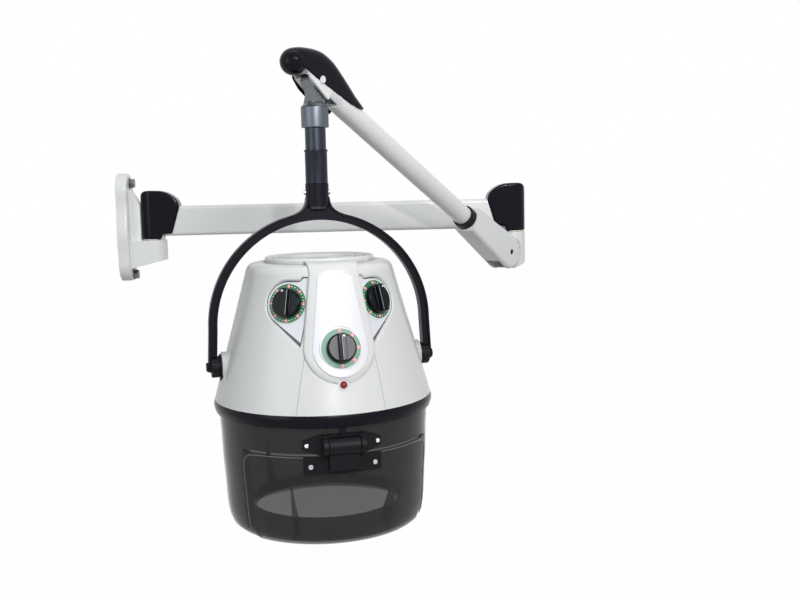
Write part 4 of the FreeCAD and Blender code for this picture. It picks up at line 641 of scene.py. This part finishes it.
def head_cover_mesh():
    """The black cover of the levelling head: an open-bottomed shell that ends in a ball."""
    crest = [(-117.5, 21.0), (-104, 24.8), (-89.6, 29.2), (-54, 40), (-23.6, 48), (-8, 50.2)]
    crest += [(14, 49.3), (34, 42.5), (50, 34), (62, 26.5), (71, 19)]
    hem = [(-117.5, 14.0), (-104, 8.0), (-81, 2.5), (13, -5.1), (44, -5.7), (70, -5.7)]
    far_wall = [(-84, 2), (-80, -16), (-70, -23), (-52, -24.5), (-22, -24.5), (8, -21), (28, -13), (40, 2)]
    wall, half_width = 2.9, 23.2
    work = bmesh.new()
    rings = []
    for x, top in spline_points(crest, 5):
        bottom = min(between(hem, x), top - 2)
        half = half_width - 0.20 * max(x - 50, 0.0) - 5.0 * (max(-95.0 - x, 0.0) / 22.5) ** 2
        outside = arch(half, bottom, top)
        inside = arch(half - wall, bottom, top - wall)
        rings.append([work.verts.new((x, y, z)) for y, z in outside + inside[::-1]])
    loft(work, rings)
    ball_place = Matrix.Translation((56, 0, 0.5))
    bmesh.ops.create_uvsphere(work, u_segments=32, v_segments=20, radius=23.6, matrix=ball_place)
    add_prism(work, far_wall, -23.4, -21.0)
    return melted(plain_mesh(work, "cover_block"), "head_cover_shell", voxel=1.25, rounds=6, keep=0.45)


def cut_copy(node, name, matrix, outline, half=60.0):
    """A merged copy of a node with a block taken off it, in a piece's own frame."""
    mesh = frame["nodes"][node].data.copy()
    merge(mesh, 0.5)
    mesh.transform((MM @ matrix).inverted())
    work = bmesh.new()
    add_prism(work, outline, -half, half)
    return placed(combined(mesh, name, "DIFFERENCE", work), matrix)


CAPS = (("wall_cap_shell", AT_FIRST_ARM, "wall_end_cap"), ("elbow_cap_shell", AT_FAR_CAP, "elbow_end_cap"))
for name, matrix, node in CAPS:
    finish_piece(placed(cap_mesh(name), matrix), name, "first_arm", BLACK_GLOSS, (node,))
cover = placed(head_cover_mesh(), AT_FORK)
finish_piece(cover, "head_cover_shell", "second_arm", BLACK_GLOSS, ("head_cover",))

FORK_CHIN = [(-26, -60), (-26, -20.4), (31, -10.7), (31, -7), (40, -3), (44, 60), (120, 60), (120, -60)]
fork = cut_copy("head_fork", "head_fork_cheeks", AT_FORK, FORK_CHIN)
finish_piece(fork, "head_fork_cheeks", "second_arm", WHITE_CAST, ("head_fork",), 0.6)

# ---------------------------------------------------------------- the hood's face

SIDE_DIAL_HEIGHT = 187.3
SPEED_DIAL_HEIGHT = 112.0
POCKET_DEPTH = 7.5
DIAL_BORE = 36.1
BAND_PROUD = 5.0
ROLL_START = 233.3
FOOT_REACH = 55.0


def dial_frame(angle, height, lift):
    """A dial's own frame on the hood: X across, Y up the cone, Z outward."""
    out = cone_out(angle)
    across = UP.cross(out).normalized()
    matrix = Matrix((across, out.cross(across), out)).transposed().to_4x4()
    matrix.translation = on_cone(angle, height) + out * lift
    return matrix


SIDE_DIALS = {
    "temperature": dial_frame(-34.2, SIDE_DIAL_HEIGHT, -POCKET_DEPTH),
    "timer": dial_frame(32.9, SIDE_DIAL_HEIGHT, -POCKET_DEPTH),
}
SPEED_DIAL = dial_frame(0.0, SPEED_DIAL_HEIGHT, 4.9)
LAMP_PLACE = dial_frame(0.0, 54.0, 0.0)


def rolled_top(steps=6):
    """Radius and height down the front of the raised band's rolled top."""
    front = cone_radius(ROLL_START) + BAND_PROUD
    knots = [(103.0, 254.0), (front - 19.0, 252.5), (front - 9.5, 248.5), (front - 3.0, 241.3)]
    knots += [(front, ROLL_START), (cone_radius(226.0) + BAND_PROUD, 226.0)]
    return spline_points(knots, steps)[:-steps]


def band_rows(low_half, top_half, top, foot, corner=0.0, roll=()):
    """A band from top to foot: its radius where it is rolled, its height and its half width."""
    middle = SPEED_DIAL_HEIGHT
    knee = top if roll else top - 12.0
    rows = [(radius, height, top_half) for radius, height in roll]
    for height in spread(top, middle, 34)[:-1]:
        widened = max(knee - height, 0.0) / (knee - middle)
        half = top_half + (low_half - top_half) * widened
        if corner and height > top - corner:
            half -= corner * (1 - eased((top - height) / corner))
        rows.append((None, height, half))
    for angle in spread(0.0, math.pi / 2, 30):
        half = max(low_half * math.cos(angle), 0.02)
        rows.append((None, middle - (middle - foot) * math.sin(angle), half))
    return rows


def band_mesh(name, rows, base, lift, round_edge, soft_foot, foot_sink=0.0):
    """A raised tongue on the cone, with its round end about the speed dial."""
    rim = [(half, height) for _, height, half in rows] + [(-half, height) for _, height, half in rows]
    if rows[0][0] is None:
        rim += [(rows[0][2] * u, rows[0][1]) for u in spread(-1.0, 1.0, 24)]
    columns = [0.55 * math.sin(math.pi / 2 * u) + 0.45 * u for u in spread(-1.0, 1.0, 52)]
    work = bmesh.new()
    front, back = [], []
    for radius, height, half in rows:
        toward_foot = min(max((SPEED_DIAL_HEIGHT - height) / FOOT_REACH, 0.0), 1.0)
        front.append([])
        back.append([])
        for u in columns:
            x = u * half
            if radius is None:
                gap = min(math.hypot(x - a, height - b) for a, b in rim)
                edge = eased(min(gap / (round_edge + soft_foot * toward_foot), 1.0))
                ground = cone_radius(height) + base
                outer = ground + lift * (1.0 - foot_sink * toward_foot) * edge
                inner, drop = ground - 1.2, 0.0
            else:
                ground = radius - lift
                outer = ground + lift * eased(min((half - abs(x)) / round_edge, 1.0))
                inner, drop = ground - 2.0, 1.5
            front[-1].append(work.verts.new((x, -math.sqrt(outer**2 - x**2), height)))
            back[-1].append(work.verts.new((x, -math.sqrt(inner**2 - x**2), height - drop)))
    last = len(rows) - 1
    across = len(columns) - 1
    for i in range(last):
        for k in range(across):
            work.faces.new((front[i][k], front[i][k + 1], front[i + 1][k + 1], front[i + 1][k]))
            work.faces.new((back[i][k], back[i + 1][k], back[i + 1][k + 1], back[i][k + 1]))
        work.faces.new((front[i][0], front[i + 1][0], back[i + 1][0], back[i][0]))
        work.faces.new((front[i][across], back[i][across], back[i + 1][across], front[i + 1][across]))
    for k in range(across):
        work.faces.new((front[0][k], back[0][k], back[0][k + 1], front[0][k + 1]))
        work.faces.new((front[last][k], front[last][k + 1], back[last][k + 1], back[last][k]))
    bmesh.ops.remove_doubles(work, verts=work.verts, dist=0.05)
    return plain_mesh(work, name)


def holed(mesh, name, places):
    """The mesh with round holes bored along dial axes."""
    work = bmesh.new()
    for matrix, radius, low, high in places:
        add_lathe(work, ring_section(0, radius, low, high), 96, matrix)
    return combined(mesh, name, "DIFFERENCE", work)


band = band_rows(61.5, 43.0, ROLL_START, foot=56.0, roll=rolled_top())
console = band_mesh("console_band", band, 0.0, BAND_PROUD, round_edge=2.8, soft_foot=13.0, foot_sink=0.15)
bores = [(SPEED_DIAL, DIAL_BORE, -4.0, 30.0), (LAMP_PLACE, 9.1, -4.0, 16.0)]
console = placed(holed(console, "console_band", bores), AT_HOOD)
finish_piece(console, "console_band", "hood", SHELL_WHITE, ("front_console",), smooth=40)
band = band_rows(47.6, 31.5, 232.3, foot=66.5, corner=6.0)
panel = band_mesh("console_panel", band, 5.1, 1.5, round_edge=1.6, soft_foot=0.4)
panel = placed(holed(panel, "console_panel", [(SPEED_DIAL, DIAL_BORE, -10.0, 30.0)]), AT_HOOD)
finish_piece(panel, "console_panel", "hood", PANEL_WHITE, ("console_inset",), smooth=40)
work = bmesh.new()
add_lathe(work, [(0, -3.2), (36.0, -3.2), (36.0, -0.7), (35.8, -0.2), (35.3, 0.0), (0, 0.0)], 96)
hood_piece(work, "speed_dial_seat", SPEED_DIAL, "hood", PANEL_WHITE, smooth=30)


def add_strip(work, points, width=1.1, low=-0.6, high=0.12, steps=24):
    """A narrow strip laid on the cone between stops of angle and height."""
    run = []
    for (a1, z1), (a2, z2) in zip(points, points[1:]):
        for step in range(steps):
            t = step / steps
            run.append((a1 + (a2 - a1) * t, z1 + (z2 - z1) * t))
    run.append(points[-1])
    section = ((-1, low), (1, low), (0.7, high), (-0.7, high))
    rings = []
    for index, (angle, height) in enumerate(run):
        along = on_cone(*run[min(index + 1, len(run) - 1)]) - on_cone(*run[max(index - 1, 0)])
        out = cone_out(angle)
        side = along.normalized().cross(out) * (width / 2)
        middle = on_cone(angle, height)
        rings.append([work.verts.new(middle + side * s + out * level) for s, level in section])
    loft(work, rings)


# Painted shade: thin grey strips from the raised band's corners down to the rim, for the shade along the
# shell's seams.
work = bmesh.new()
add_strip(work, [(-20.4, 106), (-22.5, 60), (-24.2, 8.5)])
add_strip(work, [(20.4, 106), (21.2, 60), (21.2, 8.5)])
hood_piece(work, "shell_seam_shade", UNTURNED, "hood", SEAM_SHADE, smooth=60)


def pocket_outline(offset, mirror):
    """The outline of a side dial's flat, moved inward by an offset."""
    ring, top = 38.9, 45.3
    tip = Vector((31.5, -75.0))
    start = math.atan2(tip.y, tip.x) - math.acos(ring / tip.length)
    turns = spread(start, -1.5 * math.pi, 60)
    knots = [((ring - offset) * math.cos(a), (ring - offset) * math.sin(a)) for a in turns]
    knots += [(18.3 + offset * 0.4, ring - offset), (25.0 + offset * 0.4, top - offset)]
    knots += [(45.5 - 1.2 * offset, top - offset), (tip.x - 1.15 * offset, tip.y + 5.0 * offset)]
    return [(-a, b) for a, b in reversed(knots)] if mirror else knots


for side, matrix in SIDE_DIALS.items():
    mirror = side == "timer"
    work = bmesh.new()
    # Painted shade: a dark plate just inside the pocket's outline, seen in the gap round the flat.
    add_prism(work, pocket_outline(0.25, mirror), -0.2, 0.25, "Z")
    hood_piece(work, side + "_pocket_gap_shade", matrix, "hood", POCKET_GAP_SHADE)
    work = bmesh.new()
    add_prism(work, pocket_outline(1.9, mirror), -0.1, 0.9, "Z")
    hood_piece(work, side + "_pocket_plate", matrix, "hood", POCKET_WHITE, bevel=0.4)

# ---------------------------------------------------------------- dial markings

FIGURE_STEP = 45
FIGURE_LEVEL = 1.62
PAD_LOW, PAD_HIGH = 1.4, 1.58
DOT_SIZES = {"dot radius": 0.95, "dot height": 0.35, "ring radius": 29.4}
DOT_LEVEL = 1.6
DOT_GAP = (-44.0, -1.0)


def text_mesh(words, size, middle):
    """Raised plain figures, centred on a point of a dial."""
    curve = bpy.data.curves.new("figure", "FONT")
    curve.body = words
    curve.size = size
    curve.align_x = "CENTER"
    curve.align_y = "CENTER"
    curve.extrude = 0.12
    curve.offset = 0.12
    curve.resolution_u = 3
    mesh = evaluated_mesh(bpy.data.objects.new("figure", curve))
    mesh.materials.clear()
    mesh.transform(Matrix.Translation(middle))
    return mesh


def clock_place(angle, radius, height=0.0):
    a = math.radians(angle)
    return Vector((radius * math.sin(a), radius * math.cos(a), height))


def figures(name, matrix, numbers, radius, size, pad):
    """Plain numbers round a dial, as one mesh, each on a small coloured pad."""
    words = [(FIGURE_STEP * index, str(number)) for index, number in enumerate(numbers)]
    work = bmesh.new()
    for angle, _ in words:
        place = Matrix.Translation(clock_place(angle, radius))
        add_lathe(work, ring_section(0, pad, PAD_LOW, PAD_HIGH), 20, place)
    hood_piece(work, name + "_pads", matrix, "hood", MARK_PINK)
    work = bmesh.new()
    for angle, word in words:
        work.from_mesh(text_mesh(word, size, clock_place(angle, radius, FIGURE_LEVEL)))
    bmesh.ops.remove_doubles(work, verts=work.verts, dist=0.001)
    mesh = bpy.data.meshes.new(name)
    work.to_mesh(mesh)
    work.free()
    mesh.transform(MM @ AT_HOOD @ matrix)
    finish_piece(mesh, name, "hood", MARK_WHITE)


def dot_ring_tree(name, count):
    """A node tree that sets discs round a ring, but none where a figure stands."""
    tree = bpy.data.node_groups.new(name, "GeometryNodeTree")
    tree.is_modifier = True
    identifiers = {}
    for label, value in DOT_SIZES.items():
        item = tree.interface.new_socket(label, in_out="INPUT", socket_type="NodeSocketFloat")
        item.default_value = value
        identifiers[label] = item.identifier
    tree.interface.new_socket("Geometry", in_out="OUTPUT", socket_type="NodeSocketGeometry")
    nodes = Nodes(tree)
    given = {label: nodes.make("NodeGroupInput", output=label) for label in DOT_SIZES}
    ring = nodes.make("GeometryNodeMeshCircle", Vertices=count, Radius=given["ring radius"])
    disc = nodes.make(
        "GeometryNodeMeshCylinder", Vertices=12, Radius=given["dot radius"], Depth=given["dot height"]
    )
    place_in_four = nodes.make("GeometryNodeInputIndex").math("MODULO", 4.0)
    compare = {"data_type": "INT", "operation": "NOT_EQUAL"}
    between_figures = nodes.make("FunctionNodeCompare", settings=compare, i2=place_in_four)
    dots = nodes.make("GeometryNodeInstanceOnPoints", Points=ring, Instance=disc, Selection=between_figures)
    whole = nodes.make("GeometryNodeRealizeInstances", i0=dots)
    painted = nodes.make("GeometryNodeSetMaterial", Geometry=whole, Material=MARK_WHITE)
    feed(tree.nodes.new("NodeGroupOutput").inputs[0], painted)
    return tree, identifiers


def marked_dial(name, matrix, count):
    """White dots round a dial, with a gap at its upper left."""
    tree, identifiers = dot_ring_tree(name, count)
    holder = bpy.data.objects.new(name, bpy.data.meshes.new(name))
    modifier = holder.modifiers.new("dots", "NODES")
    modifier.node_group = tree
    for label, value in DOT_SIZES.items():
        modifier[identifiers[label]] = value
    mesh = evaluated_mesh(holder)
    work = bmesh.new()
    work.from_mesh(mesh)
    first, last = DOT_GAP
    gone = [v for v in work.verts if first < math.degrees(math.atan2(v.co.x, v.co.y)) < last]
    bmesh.ops.delete(work, geom=gone, context="VERTS")
    work.to_mesh(mesh)
    work.free()
    mesh.transform(MM @ AT_HOOD @ matrix @ Matrix.Translation(UP * DOT_LEVEL))
    finish_piece(mesh, name, "hood", MARK_WHITE)


SIDE_FIGURES = {"temperature": (range(8), 4.6), "timer": (range(0, 40, 5), 3.8)}
for side, matrix in SIDE_DIALS.items():
    numbers, size = SIDE_FIGURES[side]
    figures(side + "_figures", matrix, numbers, 29.3, size, pad=3.0)
    marked_dial(side + "_dots", matrix, 32)
    work = bmesh.new()
    add_lathe(work, [(33.05, 0.9), (34.6, 0.9), (34.6, 1.35), (34.3, 1.6), (33.05, 1.6)], 96)
    hood_piece(work, side + "_border", matrix, "hood", MINT_BORDER, smooth=30)
figures("speed_figures", SPEED_DIAL, range(1, 6), 29.2, 4.8, pad=3.2)

# ---------------------------------------------------------------- knobs


def knob_outline(half_width, half_length, corner, shift=0.0):
    """A bar with rounded ends, seen from above."""
    points = []
    for cx, cy, first in ((1, 1, 0), (-1, 1, 90), (-1, -1, 180), (1, -1, 270)):
        for angle in spread(first, first + 90, 4):
            a = math.radians(angle)
            x = cx * (half_width - corner) + corner * math.cos(a)
            points.append((x + shift, cy * (half_length - corner) + corner * math.sin(a)))
    return points


def knob_body(node, matrix, half_width):
    """The turned base of a knob with its bar, melted together at their edges."""
    name = node + "_shell"
    work = bmesh.new()
    add_lathe(work, [(0, 1.8), (24.6, 1.8), (25.0, 3.0), (24.6, 9.6), (23.2, 10.8), (0, 11.2)], 72)
    add_prism(work, knob_outline(half_width, 23.5, 2.5), 4.0, 19.8, "Z")
    mesh = melted(plain_mesh(work, name), name, voxel=0.9, rounds=3, keep=0.4)
    finish_piece(placed(mesh, AT_HOOD @ matrix), name, BODY_OF[node], BLACK_KNOB, (node,))


def knob_marks(node, matrix, dot, line):
    """A white dot on a knob's bar, and a grey line along the bar's edge as a painted highlight."""
    work = bmesh.new()
    add_lathe(work, ring_section(0, 1.7, 19.5, 20.0), 24, Matrix.Translation((*dot, 0.0)))
    hood_piece(work, node + "_dot", matrix, BODY_OF[node], MARK_WHITE)
    # Painted highlight: a grey strip along the bar's edge.
    work = bmesh.new()
    add_prism(work, knob_outline(0.45, 21.0, 0.4, line), 18.0, 19.9, "Z")
    hood_piece(work, node + "_line", matrix, BODY_OF[node], KNOB_EDGE_HIGHLIGHT)


for side, matrix in SIDE_DIALS.items():
    facing = 1 if side == "temperature" else -1
    knob_body(side + "_knob", matrix, 6.8)
    knob_marks(side + "_knob", matrix, (-3.2 * facing, 19.0), 5.6 * facing)
knob_body("speed_knob", SPEED_DIAL, 6.2)
knob_marks("speed_knob", SPEED_DIAL, (2.6, 18.5), -0.6)
SPEED_BODY, SPEED_SLOT = BODY_OF["speed_knob"], SLOT_OF["speed_knob"]
work = bmesh.new()
add_lathe(work, [(0, 11.0), (21.6, 10.9), (21.9, 11.3), (21.6, 11.6), (0, 11.6)], 72)
hood_piece(work, "speed_knob_face", SPEED_DIAL, SPEED_BODY, KNOB_STEEL, smooth=30)
work = bmesh.new()
add_prism(work, knob_outline(2.6, 20.5, 1.0, 2.6), 19.0, 19.95, "Z")
hood_piece(work, "speed_knob_bar_face", SPEED_DIAL, SPEED_BODY, KNOB_STEEL, bevel=0.3)

# ---------------------------------------------------------------- crown vents, as rings of painted shade

VENT_COUNT, VENT_START, VENT_PITCH, VENT_WIDTH = 4, 55.3, 8.0, 4.5
work = bmesh.new()
for index in range(VENT_COUNT):
    inner = VENT_START + VENT_PITCH * index
    add_lathe(work, ring_section(inner, inner + VENT_WIDTH, 252.6, 253.25), 96)
hood_piece(work, "crown_vent_shadow", UNTURNED, "hood", VENT_SHADE)
# Painted shade: a dark ring on the floor of the crown's well, round its lighter disc.
work = bmesh.new()
add_lathe(work, ring_section(31.0, 49.0, 243.2, 244.0), 96)
hood_piece(work, "crown_well_shade", UNTURNED, "hood", VENT_SHADE)

# ---------------------------------------------------------------- visor trim: a real bead along the flap's edge, coloured lighter than the smoke as a painted highlight

VISOR_OUTSIDE = [(6.0, 186.8), (-33.0, 186.8), (-48.0, 185.6), (-68.0, 185.0), (-97.0, 184.0)]
VISOR_OUTSIDE += [(-125.0, 182.0), (-162.0, 180.0), (-180.0, 179.0), (-199.0, 176.0), (-212.0, 171.0)]
VISOR_OUTSIDE += [(-219.0, 163.0)]
FLAP_PROUD = 3.6
BEAD_SIZE = 1.1


def on_visor(angle, height, proud=0.0):
    return around(angle, between(VISOR_OUTSIDE, height) + proud, height)


def bead(work, stops, proud, size, corners=8):
    """A flattened round bead laid on the visor between stops of angle and height."""
    run = spline_points(stops, 8)
    rings = []
    for index, (angle, height) in enumerate(run):
        along = on_visor(*run[min(index + 1, len(run) - 1)]) - on_visor(*run[max(index - 1, 0)])
        out = around(angle, 1.0, 0.0)
        side = along.normalized().cross(out).normalized()
        middle = on_visor(angle, height, proud)
        ring = []
        for step in range(corners):
            a = 2 * math.pi * step / corners
            ring.append(work.verts.new(middle + side * size * math.cos(a) + out * size * 0.7 * math.sin(a)))
        rings.append(ring)
    loft(work, rings)


flap_edge = [(-57.0, -205.0), (-57.6, -150.0), (-58.0, -100.0), (-57.5, -80.0), (-55.0, -70.0)]
flap_edge += [(-50.0, -66.0), (-40.0, -64.6)]
# The bead is real trim, and its lighter colour is a painted highlight along the flap's edge.
work = bmesh.new()
bead(work, flap_edge + [(-21.5, -64.4)], FLAP_PROUD, BEAD_SIZE)
bead(work, [(-a, z) for a, z in flap_edge] + [(18.0, -64.4)], FLAP_PROUD, BEAD_SIZE)
hood_piece(
    work, "flap_edge_bead", UNTURNED, BODY_OF["visor_flap"], VISOR_EDGE_HIGHLIGHT, smooth=60
)

# ---------------------------------------------------------------- the frame's own nodes, each with its bevel

DRESS = {
    "wall_bracket": (WHITE_CAST, 1.2),
    "wall_cap_nuts": (DARK_BOLT, 0.3),
    "wall_pivot_pin": (STEEL, 0.4),
    "wall_thrust_washer": (BRONZE, 0.1),
    "first_arm_tube": (WHITE_ARM, 0.3),
    "wall_end_socket": (WHITE_CAST, 0.6),
    "elbow_end_socket": (WHITE_CAST, 0.6),
    "elbow_post": (WHITE_CAST, 0.8),
    "elbow_thrust_washer": (BRONZE, 0.1),
    "lift_housing": (WHITE_CAST, 1.0),
    # Painted shade: the lift pin is black satin so that its recessed end shows as the dark hole in the near
    # cheek.
    "lift_pin": (BLACK_SATIN, 0.4),
    "tube_collar": (BLACK_GRAIN, 0.8),
    "second_arm_tube": (WHITE_ARM, 0.3),
    "spring_seat": (STEEL, 0.0),
    "balance_spring": (STEEL, 0.0),
    "head_pin": (CHROME, 0.8),
    "link_rod": (STEEL, 0.3),
    "head_knuckle": (KNUCKLE_GREY, 0.8),
    "steel_ferrule": (FERRULE_STEEL, 0.5),
    "column_tube": (COLUMN_STEEL, 0.3),
    "column_bush": (BRONZE, 0.2),
    "column_sleeve": (SLEEVE_STEEL, 0.5),
    "yoke": (BLACK_SATIN, 0.7),
    "yoke_screws": (STEEL, 0.3),
    "hood_shell": (SHELL_WHITE, 0.0),
    "pilot_lamp": (LAMP_RED, 0.0),
    "lamp_bezel": (SHELL_WHITE, 0.2),
    "temperature_scale": (SCALE_GREEN, 0.3),
    "timer_scale": (SCALE_GREEN, 0.3),
    "speed_scale": (SCALE_PALE, 0.3),
    "crown_grille": (SHELL_WHITE, 0.0),
    "crown_disc": (CROWN_GREY, 0.5),
    "rim_gasket": (BLACK_RUBBER, 0.0),
    "smoked_shell": (SMOKE, 0.0),
    "hinge_bracket": (BLACK_GRAIN, 0.6),
    "bracket_screws": (CHROME, 0.0),
    "friction_discs": (BLACK_GRAIN, 0.4),
    "inner_bowl": (BOWL_GREY, 0.0),
    "motor_plate": (STEEL, 0.0),
    "fan_motor": (STEEL, 0.4),
    "heater": (COPPER, 0.0),
    "thermostat": (BLACK_GRAIN, 0.4),
    "timer_unit": (BLACK_GRAIN, 0.4),
    "speed_switch": (BLACK_GRAIN, 0.4),
    "fan_wheel": (BLACK_GRAIN, 0.0),
    "visor_flap": (SMOKE, 0.0),
    "hinge_barrel": (BLACK_GRAIN, 0.5),
    "hinge_plate": (BLACK_GRAIN, 0.8),
    "plate_screws": (STEEL, 0.3),
    "left_tilt_knob": (BLACK_GRAIN, 0.8),
    "right_tilt_knob": (BLACK_GRAIN, 0.8),
}
for node, (material, bevel) in DRESS.items():
    dress(node, material, bevel)
